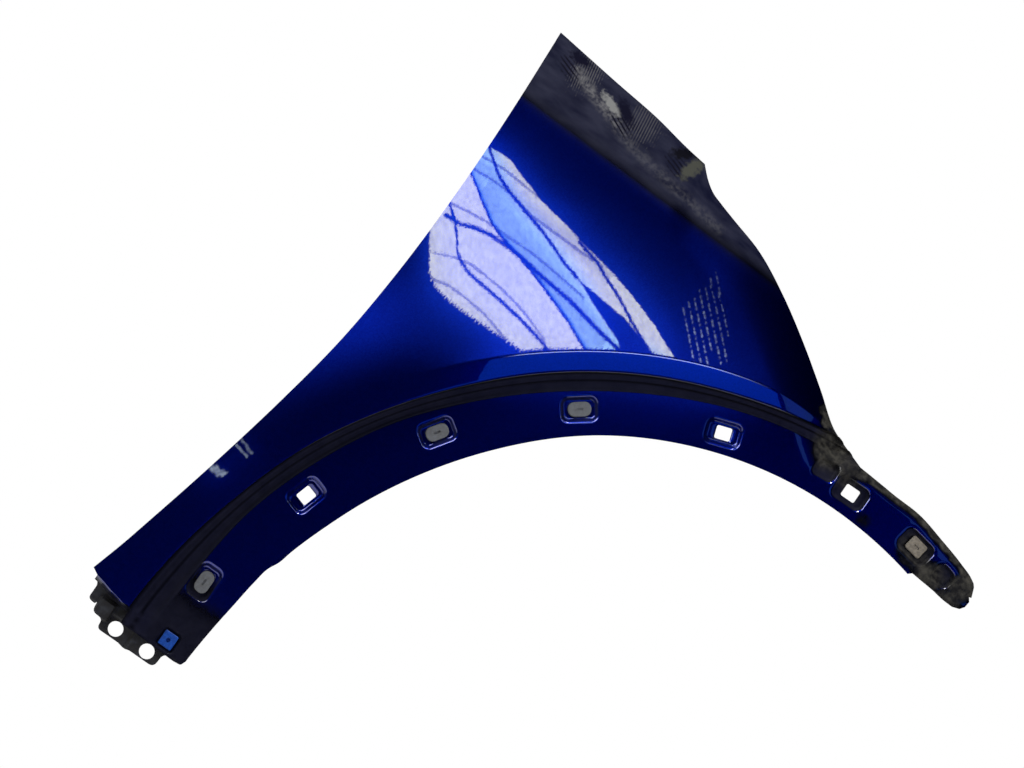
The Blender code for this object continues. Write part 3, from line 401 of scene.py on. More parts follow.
# Broken streaks by the lamp edge
STREAK_START = (-0.230, 0.466)
STREAK_AXIS = (0.72, -0.69)
STREAK_STEP = 0.0060
STREAK_STAGGER = 0.0045
STREAK_COUNT = 7
STREAK_LENGTH = 0.082
STREAK_DASH = 0.0008
STREAK_WIDTH = 0.0009
STREAK_FADE_SHARE = 0.75
STREAK_BOX = (-0.260, 0.415, -0.140, 0.540)
STREAK_GRID = 0.0007
MIDDLE_BAR = (
    (-0.466, 0.457), (-0.450, 0.447), (-0.440, 0.440), (-0.420, 0.428), (-0.410, 0.424), (-0.390, 0.419),
    (-0.370, 0.414), (-0.350, 0.408), (-0.330, 0.401), (-0.310, 0.394), (-0.295, 0.387), (-0.276, 0.379),
)
# Line, reach above and below it, and darkness of each bar and each broad shade
WINDOW_BARS = (
    (((-0.466, 0.487), (-0.450, 0.475), (-0.440, 0.468), (-0.425, 0.462), (-0.400, 0.455), (-0.380, 0.450),
      (-0.360, 0.443), (-0.345, 0.437), (-0.325, 0.432)), 0.0026, 0.0026, 1.0),
    (((-0.345, 0.461), (-0.320, 0.455), (-0.305, 0.448), (-0.290, 0.442), (-0.275, 0.435), (-0.262, 0.428),
      (-0.240, 0.418), (-0.226, 0.412)), 0.0026, 0.0026, 1.0),
    (MIDDLE_BAR, 0.016, 0.0015, 0.25),
    (MIDDLE_BAR, 0.0022, 0.0016, 1.0),
    (((-0.462, 0.410), (-0.445, 0.411), (-0.430, 0.416), (-0.415, 0.419), (-0.395, 0.419), (-0.380, 0.418),
      (-0.350, 0.414), (-0.320, 0.411), (-0.300, 0.407), (-0.280, 0.403), (-0.252, 0.399)),
     0.0032, 0.0032, 1.0),
    (((-0.464, 0.421), (-0.450, 0.411), (-0.440, 0.400), (-0.432, 0.389), (-0.424, 0.383), (-0.410, 0.378),
      (-0.390, 0.376), (-0.370, 0.374), (-0.350, 0.371), (-0.330, 0.367), (-0.318, 0.364), (-0.306, 0.359)),
     0.0026, 0.0026, 1.0),
    (((-0.466, 0.474), (-0.440, 0.476), (-0.420, 0.4745), (-0.398, 0.473)), 0.0018, 0.0018, 0.65),
    (((-0.466, 0.460), (-0.440, 0.4615), (-0.420, 0.4605), (-0.395, 0.4555), (-0.360, 0.4545),
      (-0.330, 0.454), (-0.312, 0.4545)), 0.0018, 0.0018, 0.65),
    (((-0.466, 0.421), (-0.445, 0.4245), (-0.425, 0.427), (-0.400, 0.4265), (-0.375, 0.427), (-0.350, 0.425),
      (-0.330, 0.423), (-0.310, 0.4205)), 0.0018, 0.0018, 0.65),
    (((-0.453, 0.373), (-0.440, 0.379), (-0.430, 0.383), (-0.415, 0.386), (-0.400, 0.3855), (-0.380, 0.384),
      (-0.360, 0.3805), (-0.340, 0.375), (-0.320, 0.368), (-0.309, 0.361)), 0.0018, 0.0018, 0.65),
    (((-0.438, 0.354), (-0.420, 0.358), (-0.400, 0.3575), (-0.380, 0.3555), (-0.365, 0.352), (-0.348, 0.347)),
     0.0018, 0.0018, 0.65),
    (((-0.500, 0.464), (-0.440, 0.464), (-0.400, 0.458), (-0.340, 0.457), (-0.300, 0.450)),
     0.014, 0.012, 0.25),
    (((-0.445, 0.452), (-0.420, 0.442), (-0.380, 0.430), (-0.330, 0.416), (-0.270, 0.395)),
     0.018, 0.016, 0.30),
)
# Upper and lower edge of the gap between the panes
WINDOW_GAP = (
    ((-0.333, 0.4335), (-0.300, 0.4305), (-0.265, 0.427), (-0.240, 0.419), (-0.228, 0.413)),
    ((-0.333, 0.4330), (-0.318, 0.428), (-0.300, 0.420), (-0.280, 0.412), (-0.262, 0.405), (-0.256, 0.400)),
)


# Small geometry

def eased(value):
    """Runs from 0 to 1 with level ends."""
    value = np.clip(value, 0.0, 1.0)
    return value * value * (3.0 - 2.0 * value)


def curve_value(table, place):
    """Height of the smooth curve through a table's points, at a place or at many."""
    places, values = (np.array(column, dtype=float) for column in zip(*table))
    slopes = np.gradient(values, places)
    place = np.clip(place, places[0], places[-1])
    left = np.clip(np.searchsorted(places, place) - 1, 0, len(places) - 2)
    width = places[left + 1] - places[left]
    t = (place - places[left]) / width
    start = (1.0 + 2.0 * t) * (1.0 - t) ** 2 * values[left] + t * (1.0 - t) ** 2 * width * slopes[left]
    end = t * t * (3.0 - 2.0 * t) * values[left + 1] + t * t * (t - 1.0) * width * slopes[left + 1]
    return start + end


def line_height(line, x):
    """Height of a line of straight runs over places along the car."""
    return np.interp(x, *np.array(line).T)


def round_wheel(angle, share):
    """Point at an angle round the wheel centre, a share of the eyebrow's rise above the arch radius."""
    radius = ARCH_RADIUS + share * EYEBROW_RISE
    return radius * math.cos(math.radians(angle)), radius * math.sin(math.radians(angle))


def wheel_place(x, z):
    """Angle and share of flat places, the other way round."""
    return np.degrees(np.arctan2(z, x)) % 360.0, (np.hypot(x, z) - ARCH_RADIUS) / EYEBROW_RISE


def wheel_line(table, start, end, offset=0.0):
    """Points along a line that is given round the wheel."""
    length = math.radians(abs(end - start)) * ARCH_RADIUS
    angles = np.linspace(start, end, max(2, round(length / LINE_SPACING) + 1))
    shares = curve_value(table, angles) + offset / EYEBROW_RISE
    return [round_wheel(angle, share) for angle, share in zip(angles, shares)]


def across_groove(angle, share):
    """How far across the groove a place is, from 0 at the eyebrow to 1 at the flange."""
    head = curve_value(BROW_EDGE_SHARES, angle)
    return (head - share) / (head - curve_value(FLANGE_HEAD_SHARES, angle))


def below_arm_top(angle, share):
    """How far a place is below the top edge of the front arm."""
    return (curve_value(ARM_TOP_SHARES, angle) - share) * EYEBROW_RISE


def over_crease(angle, share):
    """How far a place is over the pressed crease, away from the wheel."""
    return (share - curve_value(CREASE_SHARES, angle)) * EYEBROW_RISE


def rounded_rectangle(length, height, corner):
    """Outline of a rectangle with round corners, anticlockwise."""
    outline = []
    for turn, (side, up) in enumerate(((1, -1), (1, 1), (-1, 1), (-1, -1))):
        for step in range(CORNER_STEPS + 1):
            angle = math.radians(-90.0 + 90.0 * turn + 90.0 * step / CORNER_STEPS)
            along = side * (length / 2.0 - corner) + corner * math.cos(angle)
            outline.append((along, up * (height / 2.0 - corner) + corner * math.sin(angle)))
    return outline


def rounded_path(corners, radius):
    """A bent line with its corners turned smoothly."""
    corners = [np.array(corner, dtype=float) for corner in corners]
    path = [tuple(corners[0])]
    for last, corner, following in zip(corners, corners[1:], corners[2:]):
        before, after = last - corner, following - corner
        room = min(np.linalg.norm(before), np.linalg.norm(after)) / CORNER_ROOM_SHARE
        before, after = before / np.linalg.norm(before), after / np.linalg.norm(after)
        half = math.acos(max(-1.0, min(1.0, float(before @ after)))) / 2.0
        cut = min(radius / math.tan(half), room)
        if cut < SHEET:
            path.append(tuple(corner))
            continue
        for share in np.linspace(0.0, 1.0, CORNER_STEPS + 1):
            path.append(tuple(corner + cut * ((1.0 - share) ** 2 * before + share ** 2 * after)))
    return path + [tuple(corners[-1])]


def inside(outline, points):
    """Tells which points lie inside a closed outline."""
    points = np.asarray(points, dtype=float)
    result = np.zeros(len(points), dtype=bool)
    for (x0, z0), (x1, z1) in zip(outline, outline[1:] + outline[:1]):
        if z0 != z1:
            crosses = (z0 > points[:, 1]) != (z1 > points[:, 1])
            result ^= crosses & (points[:, 0] < x0 + (points[:, 1] - z0) / (z1 - z0) * (x1 - x0))
    return result


def distance_to(line, points):
    """Distance from each point to an open line of points."""
    points = np.asarray(points, dtype=float)
    nearest = np.full(len(points), math.inf)
    for start, end in zip(line, line[1:]):
        start, run = np.array(start), np.array(end) - np.array(start)
        share = np.clip((points - start) @ run / (run @ run), 0.0, 1.0)
        nearest = np.minimum(nearest, np.linalg.norm(points - start - share[:, None] * run, axis=1))
    return nearest


# Edges of the blank

def upper_edge(x):
    """Height of the hood line and the lamp edge over a place along the car."""
    place = x / REAR_REACH
    on_hood = place < HOOD_LINE_SHARES[-1][0]
    share = np.where(on_hood, curve_value(HOOD_LINE_SHARES, place), curve_value(LAMP_EDGE_SHARES, place))
    arm = ARCH_RADIUS + ARM_TOP_SHARES[-1][1] * EYEBROW_RISE
    return arm + (TOP_HEIGHT - arm) * share


def edge_runs():
    """The named edges of the panel, in order round it."""
    lowest, highest = DOOR_EDGE_SHARES[0][0], DOOR_EDGE_SHARES[-1][0]
    door = [(-REAR_REACH * float(curve_value(DOOR_EDGE_SHARES, height)), TOP_HEIGHT * height)
            for height in np.linspace(lowest, highest, round(TOP_HEIGHT / DOOR_SPACING))]
    tab_sides = [place + side * TAB_WIDTH / 2.0 for place in TAB_PLACES for side in (-1, 1)]
    stops = [HOOD_LINE_SHARES[0][0] * REAR_REACH] + tab_sides + [HOOD_LINE_SHARES[-1][0] * REAR_REACH]
    hood = []
    for start, end in zip(stops, stops[1:]):
        steps = max(1, round((end - start) / LINE_SPACING))
        hood += [start + (end - start) * step / steps for step in range(steps)]
    hood = [(x, upper_edge(x)) for x in hood + [stops[-1]]]
    lamp_start = LAMP_EDGE_SHARES[0][0] * REAR_REACH
    lamp_length = (LAMP_EDGE_SHARES[-1][0] - LAMP_EDGE_SHARES[0][0]) * REAR_REACH
    lamp = [(x, upper_edge(x)) for x in
            lamp_start + lamp_length * np.linspace(0.0, 1.0, round(lamp_length / LINE_SPACING) + 1)]
    mouth = [place for place in lamp if place[0] > LAMP_RETURN_END_SHARE * REAR_REACH]
    lamp = lamp[:len(lamp) - len(mouth)]
    arm_top = wheel_line(ARM_TOP_SHARES, ARM_TOP_SHARES[-1][0], ARM_TOP_SHARES[0][0])
    arm_end = [round_wheel(*place) for place in ARM_END_EDGE_SHARES]
    arm_foot = wheel_line(ARM_FOOT_SHARES, ARM_FOOT_SHARES[0][0], ARM_FOOT_SHARES[-1][0])
    arch = wheel_line(ARCH_EDGE_SHARES, ARCH_EDGE_SHARES[0][0], ARCH_EDGE_SHARES[-1][0])
    (arch_x, arch_z), (door_x, _) = arch[-1], door[0]
    foot, sill = ([(arch_x + along * (door_x - arch_x), down * arch_z) for along, down in shares]
                  for shares in (FOOT_EDGE_SHARES, SILL_EDGE_SHARES))
    return {
        "door": door,
        "hood": door[-1:] + hood[1:],
        "lamp": hood[-1:] + lamp[1:],
        "mouth": lamp[-1:] + mouth,
        "arm_top": mouth[-1:] + arm_top[1:],
        "arm_end": arm_top[-1:] + arm_end,
        "arm_foot": arm_end[-1:] + arm_foot,
        "arch": arm_foot[-1:] + arch,
        "foot": rounded_path(arch[-1:] + foot, FOOT_CORNER),
        "sill": foot[-1:] + sill + door[:1],
    }


# Depth of the pressing

def skin_depth(x, z, angle, share):
    """Depth of the open skin and the eyebrow, without the groove and the flange."""
    above = np.clip((z - WIDEST_HEIGHT) / (TOP_HEIGHT - WIDEST_HEIGHT), 0.0, None)
    below = np.clip((WIDEST_HEIGHT - z) / ARCH_RADIUS, 0.0, None)
    sweep = np.clip((x / ARCH_RADIUS - NOSE_START_SHARE) / (NOSE_REACH_SHARE - NOSE_START_SHARE), 0.0, None)
    depth = TUMBLEHOME * above ** 2 + TURN_UNDER * below ** 2 + NOSE_SWEEP * sweep ** 2
    height = SHOULDER_HEIGHT * (1.0 - SHOULDER_FALL_SHARE * np.clip((x + REAR_REACH) / REAR_REACH, 0.0, 1.0))
    roll = np.clip(1.0 - (upper_edge(x) - z) / height, 0.0, 1.0) * eased((0.0 - x) / height)
    depth = depth + SHOULDER_ROLL * roll ** SHOULDER_SHARPNESS
    crisp = 1.0 - eased((angle - CREASE_END) / CREASE_FADE)
    rear = eased((angle - CREASE_END) / (GROOVE_END - CREASE_END))
    flare = FLARE_FRONT + (FLARE_REAR - FLARE_FRONT) * rear
    over = over_crease(angle, share)
    run_out = np.clip(over / FLARE_SPREAD, 0.0, 1.0)
    bulge = crisp * (1.0 - run_out) ** 2 + (1.0 - crisp) * (1.0 - eased(run_out))
    band = (curve_value(CREASE_SHARES, angle) - curve_value(BROW_EDGE_SHARES, angle)) * EYEBROW_RISE
    tuck = np.clip(-over / np.maximum(band, SHEET), 0.0, 1.0)
    return depth - flare * bulge + BROW_TUCK * crisp * tuck


def groove_drop(across):
    """Drop over the groove's section, with its bends rounded."""
    nearby = np.linspace(-GROOVE_ROUNDING, GROOVE_ROUNDING, 5)
    return np.mean([line_height(GROOVE_SECTION_SHARES, across + step) for step in nearby], axis=0)


def press_depth(points):
    """Depth of the whole pressing at flat places, apart from its pockets."""
    x, z = np.asarray(points, dtype=float).T
    angle, share = wheel_place(x, z)
    across = across_groove(angle, share)
    runs_out = 1.0 - eased((angle - GROOVE_END + GROOVE_FADE) / GROOVE_FADE)
    drop = groove_drop(across) * runs_out + eased(across) * (1.0 - runs_out)
    lean = np.clip(1.0 - below_arm_top(angle, share) / FACET_WIDTH, 0.0, 1.0)
    lean = lean * (angle < ARM_TOP_SHARES[-1][0])
    return skin_depth(x, z, angle, share) + FLANGE_DROP * drop + FACET_DROP * lean


class Pocket:
    """A flat-floored recess of the arch flange, in its own axes: along the arch and outward."""

    def __init__(self, angle, share, size, wall=POCKET_WALL, drop=POCKET_DEPTH, hole=None, level=False):
        turn = 0.0 if level else math.radians(angle - 90.0)
        self.place = np.array(round_wheel(angle, share))
        self.along = np.array((math.cos(turn), math.sin(turn)))
        self.across = np.array((-math.sin(turn), math.cos(turn)))
        self.size, self.wall, self.hole = size, wall, hole
        middle, right, up = press_depth([self.place, self.place + (PROBE, 0.0), self.place + (0.0, PROBE)])
        self.slope = np.array((right - middle, up - middle)) / PROBE * (0.0 if level else 1.0)
        self.depth = middle + drop

    def outline(self, length, height, corner):
        """A rounded rectangle round the pocket's middle, as flat places."""
        return [tuple(self.place + a * self.along + b * self.across)
                for a, b in rounded_rectangle(length, height, corner)]

    def loop(self, inset):
        """The pocket's rim, drawn in by a distance."""
        length, height, corner = self.size
        return self.outline(length - 2.0 * inset, height - 2.0 * inset, corner - inset)

    def sink(self, points, depths):
        """The depths of flat places, let down over the wall to the pocket's floor."""
        length, height, corner = self.size
        local = np.abs(np.stack(((points - self.place) @ self.along, (points - self.place) @ self.across), 1))
        past = local - (np.array((length, height)) / 2.0 - corner)
        outside = np.linalg.norm(np.clip(past, 0.0, None), axis=1)
        signed = outside + np.clip(past.max(axis=1), None, 0.0) - corner
        floor = self.depth + (points - self.place) @ self.slope
        return depths + eased(-signed / self.wall) * (floor - depths)


def clip_pockets():
    """Every pocket of the flange."""
    hole = (CLIP_HOLE_LENGTH, CLIP_HOLE_HEIGHT, CLIP_HOLE_CORNER)
    size = (POCKET_LENGTH, POCKET_HEIGHT, POCKET_CORNER)
    seat = (CLIP_SEAT_LENGTH, CLIP_SEAT_LENGTH, CLIP_SEAT_CORNER)
    seat_hole = (CLIP_SEAT_HOLE, CLIP_SEAT_HOLE, CLIP_SEAT_HOLE / CORNER_STEPS)
    pockets = [Pocket(angle, share, size, hole=hole) for angle, share in POCKET_SHARES]
    pockets.append(Pocket(*BLIND_SHARES, (BLIND_LENGTH, BLIND_HEIGHT, BLIND_CORNER)))
    pockets.append(Pocket(*ARM_END_SHARES, (ARM_END_LENGTH, ARM_END_HEIGHT, POCKET_CORNER)))
    pockets.append(Pocket(*CLIP_SEAT_SHARES, seat, CLIP_SEAT_WALL, CLIP_SEAT_DEPTH, seat_hole, level=True))
    return pockets


# Sheet metal

def flat_blank(outline, lines, loops, holes):
    """Triangulates a flat sheet along its pressed lines and loops, less its holes."""
    places, edges, barriers = [], [], []
    closed_lines = [(outline, True)] + [(line, False) for line in lines] + [(loop, True) for loop in loops]
    for line, closed in closed_lines:
        first = len(places)
        places += line
        edges += [(first + step, first + step + 1) for step in range(len(line) - 1)]
        if closed:
            edges.append((first + len(line) - 1, first))
        barriers.append(line + line[:1] if closed else line)
    low, high = np.min(outline, axis=0), np.max(outline, axis=0)
    columns = np.arange(low[0], high[0], FACET_SPACING)
    rows = np.arange(low[1], high[1], FACET_SPACING * math.sqrt(0.75))
    grid = np.array([(x + FACET_SPACING / 2.0 * (row % 2), z) for row, z in enumerate(rows) for x in columns])
    grid = grid[inside(outline, grid)]
    for line in barriers:
        grid = grid[distance_to(line, grid) > 0.5 * FACET_SPACING]
    for loop in loops:
        grid = grid[~inside(loop, grid)]
    places = [Vector(place) for place in places + [tuple(place) for place in grid]]
    flat, _, faces = delaunay_2d_cdt(places, edges, [], 1, BLANK_WELD, False)[:3]
    middles = np.array([np.mean([flat[corner] for corner in face], axis=0) for face in faces])
    keep = inside(outline, middles)
    for hole in holes:
        keep &= ~inside(hole, middles)
    return np.array([tuple(place) for place in flat]), [list(face) for face, kept in zip(faces, keep) if kept]


def sheet_mesh(places, faces, depths):
    """Open sheet lifted from its blank, with its faces turned outboard."""
    sheet = bmesh.new()
    corners = [sheet.verts.new((x, depth, z)) for (x, z), depth in zip(places, depths)]
    for face in faces:
        sheet.faces.new([corners[corner] for corner in face])
    bmesh.ops.delete(sheet, geom=[vert for vert in sheet.verts if not vert.link_faces], context="VERTS")
    face_outboard(sheet)
    return sheet


def face_outboard(sheet):
    """Turns all faces the same way round, most of them outboard."""
    bmesh.ops.recalc_face_normals(sheet, faces=sheet.faces[:])
    sheet.normal_update()
    if sum(face.normal.y * face.calc_area() for face in sheet.faces) > 0.0:
        bmesh.ops.reverse_faces(sheet, faces=sheet.faces[:])


def free_edges(sheet, line, relief=0.0):
    """Open edges of the sheet that lie along a line, clear of its ends."""
    open_edges = [edge for edge in sheet.edges if edge.is_boundary]
    middles = np.array([((edge.verts[0].co + edge.verts[1].co) / 2.0).xz for edge in open_edges])
    near = distance_to(line, middles) < SHEET
    for end in (line[0], line[-1]):
        near &= np.linalg.norm(middles - np.array(end), axis=1) > relief
    return [edge for edge, kept in zip(open_edges, near) if kept]


def fold(sheet, edges, shift):
    """Turns a new strip off the given edges and gives its far edges."""
    made = bmesh.ops.extrude_edge_only(sheet, edges=edges)["geom"]
    for vert in made:
        if isinstance(vert, bmesh.types.BMVert):
            vert.co += Vector(shift(vert.co))
    return [edge for edge in made if isinstance(edge, bmesh.types.BMEdge)
            and all(vert in made for vert in edge.verts) and edge.is_boundary]


def tab_level(place):
    """Height of a hood tab."""
    return float(upper_edge(place)) - HOOD_WEB


def hood_web_depth(x):
    """Depth of the web's foot, where the tabs begin."""
    return float(press_depth([(x, float(upper_edge(x)))])[0]) + HOOD_FOLD + HOOD_WEB_LEAN


def fold_hood_edge(sheet, line):
    """Fold, web and three bolt tabs along the hood line."""
    rim = fold(sheet, free_edges(sheet, line, CORNER_RELIEF), lambda co: (0.0, HOOD_FOLD, 0.0))
    rim = [edge for edge in rim if edge.calc_face_angle(None) is None]

    def web_shift(co):
        near = min(TAB_PLACES, key=lambda place: abs(place - co.x))
        between = eased((abs(near - co.x) - TAB_WIDTH / 2.0) / TAB_WIDTH)
        free = float(upper_edge(co.x)) - HOOD_WEB * TAB_TIP_SHARE
        level = tab_level(near) + (free - tab_level(near)) * between
        return 0.0, HOOD_WEB_LEAN, level - co.z

    rim = fold(sheet, rim, web_shift)
    for place in TAB_PLACES:
        reach = TAB_WIDTH / 2.0 + PROBE
        root = [edge for edge in rim if all(abs(vert.co.x - place) < reach for vert in edge.verts)]
        middle = fold(sheet, root, lambda co: (0.0, TAB_LENGTH * TAB_TIP_SHARE, 0.0))
        tip_y = hood_web_depth(place) + TAB_LENGTH
        fold(sheet, middle, lambda co, at=place: ((at - co.x) * (1.0 - TAB_TIP_SHARE), tip_y - co.y, 0.0))


def part_shift():
    """From the wheel centre to the frame's origin, at the middle hood tab's seat."""
    place = TAB_PLACES[1]
    hole = Vector((place, hood_web_depth(place) + TAB_LENGTH / 2.0, tab_level(place)))
    return -(hole + Vector((MOUNT_OFFSET, 0.0, -SHEET)))


# Finishes

class Nodes:
    """Adds nodes to a material or to the world by short calls."""

    def __init__(self, owner):
        owner.use_nodes = True
        self.owner = owner
        self.tree = owner.node_tree

    def feed(self, socket, value):
        if isinstance(value, bpy.types.NodeSocket):
            self.tree.links.new(value, socket)
        else:
            socket.default_value = value

    def add(self, kind, inputs, **settings):
        node = self.tree.nodes.new(kind)
        for key, value in settings.items():
            setattr(node, key, value)
        for key, value in inputs.items():
            self.feed(node.inputs[key], value)
        return node

    def place(self, stretch=(1.0, 1.0, 1.0), turn=(0.0, 0.0, 0.0)):
        """Place on the piece, in metres, turned and then stretched."""
        here = self.add("ShaderNodeTexCoord", {}).outputs["Object"]
        inputs = {"Vector": here, "Rotation": turn, "Scale": stretch}
        return self.add("ShaderNodeMapping", inputs).outputs["Vector"]

    def noise(self, size, detail=2.0, **where):
        """Cloudy noise from 0 to 1 with grains of a given size."""
        inputs = {"Vector": self.place(**where), "Scale": 1.0 / size, "Detail": detail}
        return self.add("ShaderNodeTexNoise", inputs).outputs["Fac"]

    def patch(self, centre, size, turn):
        """1 inside a ragged oval on the panel's side, down to 0 at its soft edge."""
        here = self.add("ShaderNodeTexCoord", {}).outputs["Object"]
        inputs = {"Vector": here, "Location": (centre[0], 0.0, centre[1]), "Rotation": (0.0, -turn, 0.0),
                  "Scale": (size[0] / 2.0, PATCH_DEPTH, size[1] / 2.0)}
        place = self.add("ShaderNodeMapping", inputs, vector_type="TEXTURE").outputs["Vector"]
        reach = self.add("ShaderNodeVectorMath", {0: place}, operation="LENGTH").outputs["Value"]
        fray = self.spread(self.noise(MOTTLE_SIZE, 3.0), 0.0, 1.0, -PATCH_RAGGED, PATCH_RAGGED)
        reach = self.calculate("ADD", reach, fray)
        return self.spread(reach, 1.0 - PATCH_SOFT, 1.0 + PATCH_SOFT, 1.0, 0.0)

    def stripes(self, pitch, turn):
        """Fine parallel stripes from 0 to 1, along a line turned up from the front."""
        inputs = {"Vector": self.place(turn=(0.0, turn, 0.0)), "Scale": math.tau / (WAVE_TURN * pitch),
                  "Distortion": STRIPE_BEND}
        wave = self.add("ShaderNodeTexWave", inputs, bands_direction="Z", wave_profile="SIN")
        return wave.outputs["Fac"]

    def mask(self, name):
        return self.add("ShaderNodeAttribute", {}, attribute_name=name).outputs["Fac"]

    def calculate(self, operation, first, second=0.0):
        return self.add("ShaderNodeMath", {0: first, 1: second}, operation=operation).outputs[0]

    def spread(self, value, low, high, start=0.0, end=1.0):
        """Stretches the values from low to high over the range from start to end, and clips the rest."""
        inputs = {"Value": value, "From Min": low, "From Max": high, "To Min": start, "To Max": end}
        return self.add("ShaderNodeMapRange", inputs).outputs["Result"]

    def mix(self, share, low, high):
        node = self.add("ShaderNodeMix", {"Factor": share}, data_type="RGBA")
        for socket, colour in ((node.inputs[6], low), (node.inputs[7], high)):
            self.feed(socket, colour if isinstance(colour, bpy.types.NodeSocket) else (*colour, 1.0))
        return node.outputs[2]

    def grain(self, size, height, detail=2.0):
        """Shading as of fine bumps."""
        inputs = {"Height": self.noise(size, detail), "Distance": height}
        return self.add("ShaderNodeBump", inputs).outputs["Normal"]


class Finish(Nodes):
    """A Principled material."""

    def __init__(self, name, colour, roughness, metallic=0.0, coat=0.0):
        super().__init__(bpy.data.materials.new(name))
        self.set(Base_Color=(*colour, 1.0), Roughness=roughness, Metallic=metallic, Coat_Weight=coat)

    def set(self, **sockets):
        for name, value in sockets.items():
            self.feed(self.tree.nodes["Principled BSDF"].inputs[name.replace("_", " ")], value)


def shoulder_film_and_light(paint, shift):
    """Colour of the shoulder's dull layer: dust clouds, one painted highlight, and listed marks of painted
    reflection and painted shade.
    """
    cloud = paint.noise(CLOUD_SIZE, 3.0, turn=(0.0, HAZE_TURN, 0.0), stretch=CLOUD_STRETCH)
    film_and_light = paint.mix(paint.spread(cloud, *CLOUD_RANGE), HAZE_AND_SHADE_DARK, HAZE_AND_SHADE_PALE)
    lumps = paint.spread(paint.noise(LUMP_SIZE), *LUMP_RANGE, *LUMP_SHARES)
    film_and_light = paint.mix(paint.calculate("MULTIPLY", paint.mask("streak"), lumps), film_and_light, SHOULDER_HIGHLIGHT_GREY)
    # Painted reflections and painted shade, mark by mark
    for centre, size, turn, pitch, lean, colour in SHOULDER_LIGHT_AND_SHADE_MARKS:
        spot = paint.patch((centre[0] + shift.x, centre[1] + shift.z), size, math.radians(turn))
        if pitch:
            lines = paint.spread(paint.stripes(pitch, math.radians(lean)), *STRIPE_RANGE)
            spot = paint.calculate("MULTIPLY", spot, lines)
        film_and_light = paint.mix(spot, film_and_light, colour)
    return film_and_light


def paint_finish(shift):
    """Deep metallic blue under a clear coat, with its dirt in the groove, on the shoulder and the foot,
    painted shade in the groove's hollows and on the shoulder, and painted highlights and reflections on the
    shoulder.
    """
    paint = Finish("blue_paint", PAINT_BLUE, PAINT_ROUGHNESS, PAINT_METALLIC, 1.0)
    dust, grit, haze_and_shade = (paint.mask(name) for name in ("dust", "grit", "haze_and_shade"))
    cells = {"Vector": paint.place(), "Scale": 1.0 / FLAKE_SIZE}
    flake = paint.add("ShaderNodeTexVoronoi", cells).outputs["Color"]
    base = paint.mix(paint.spread(flake, 0.0, 1.0, 0.0, FLAKE_SHARE), PAINT_BLUE, PAINT_FLAKE)
    grime_and_shade = paint.mix(paint.noise(GRIME_SIZE, 3.0), DUST_DARK, DUST_PALE)
    # Painted shade in the groove's two hollow lines, over the dust
    grime_and_shade = paint.mix(paint.mask("shade"), grime_and_shade, GROOVE_SHADE_BLACK)
    specks = paint.mix(paint.spread(paint.noise(SPECK_SIZE, 5.0), *GRIT_RANGE), GRIT_DARK, GRIT_PALE)
    grime_and_shade = paint.mix(grit, grime_and_shade, specks)
    worn = paint.spread(paint.noise(MOTTLE_SIZE, 3.0), *MOTTLE_RANGE, *MOTTLE_SHARES)
    worn = paint.calculate("MULTIPLY", paint.calculate("MAXIMUM", dust, grit), worn)
    cover = paint.calculate("MAXIMUM", worn, haze_and_shade)
    # The shoulder's dull layer with its painted highlight, painted reflections and painted shade, over the
    # groove's dust and painted shade
    dirt_and_light = paint.mix(haze_and_shade, grime_and_shade, shoulder_film_and_light(paint, shift))
    paint.set(Base_Color=paint.mix(paint.spread(cover, 0.0, 0.5), base, dirt_and_light),
              Metallic=paint.spread(cover, 0.5, 1.0, PAINT_METALLIC, 0.0),
              Roughness=paint.spread(cover, 0.0, 1.0, PAINT_ROUGHNESS, DUST_ROUGHNESS),
              Coat_Weight=paint.spread(cover, 0.0, 0.8, 1.0, 0.0),
              Coat_Roughness=COAT_ROUGHNESS, Coat_IOR=COAT_IOR,
              Specular_IOR_Level=paint.spread(cover, 0.0, 1.0, PAINT_SPECULAR, DUST_SPECULAR),
              Coat_Normal=paint.grain(PEEL_SIZE, PEEL_HEIGHT, 1.0))
    return paint.owner


def inner_finish():
    """Thin, dull overspray of the same blue on the inboard side."""
    inner = Finish("inboard_paint", INNER_BLUE, sum(INNER_ROUGHNESS) / 2.0, INNER_METALLIC)
    inner.set(Base_Color=inner.mix(inner.noise(INNER_CLOUD, 4.0), INNER_BLUE, INNER_DARK),
              Roughness=inner.spread(inner.noise(INNER_MOTTLE), *MIDDLE, *INNER_ROUGHNESS),
              Normal=inner.grain(*INNER_GRAIN))
    return inner.owner


def plastic_finish(name, pale, dark, roughness):
    """Moulded plastic with faint cloudy wear and a fine grain."""
    plastic = Finish(name, pale, roughness)
    cloud = plastic.spread(plastic.noise(PLASTIC_CLOUD, 3.0), *PLASTIC_RANGE)
    mottle = plastic.noise(PLASTIC_MOTTLE)
    plastic.set(Base_Color=plastic.mix(cloud, pale, dark),
                Roughness=plastic.spread(mottle, *MIDDLE, roughness - PLASTIC_SPAN, roughness + PLASTIC_SPAN),
                Normal=plastic.grain(*PLASTIC_GRAIN))
    return plastic.owner


def bracket_finish():
    """Dull grey coated steel with paler rubbed patches."""
    coat = Finish("bracket_coat", BRACKET_GREY, BRACKET_ROUGHNESS[0], BRACKET_METALLIC)
    patches = coat.spread(coat.noise(BRACKET_CLOUD, 4.0), *BRACKET_RANGE)
    coat.set(Base_Color=coat.mix(patches, BRACKET_GREY, BRACKET_RUBBED),
             Roughness=coat.spread(patches, 0.0, 1.0, *BRACKET_ROUGHNESS),
             Normal=coat.grain(*BRACKET_GRAIN))
    return coat.owner


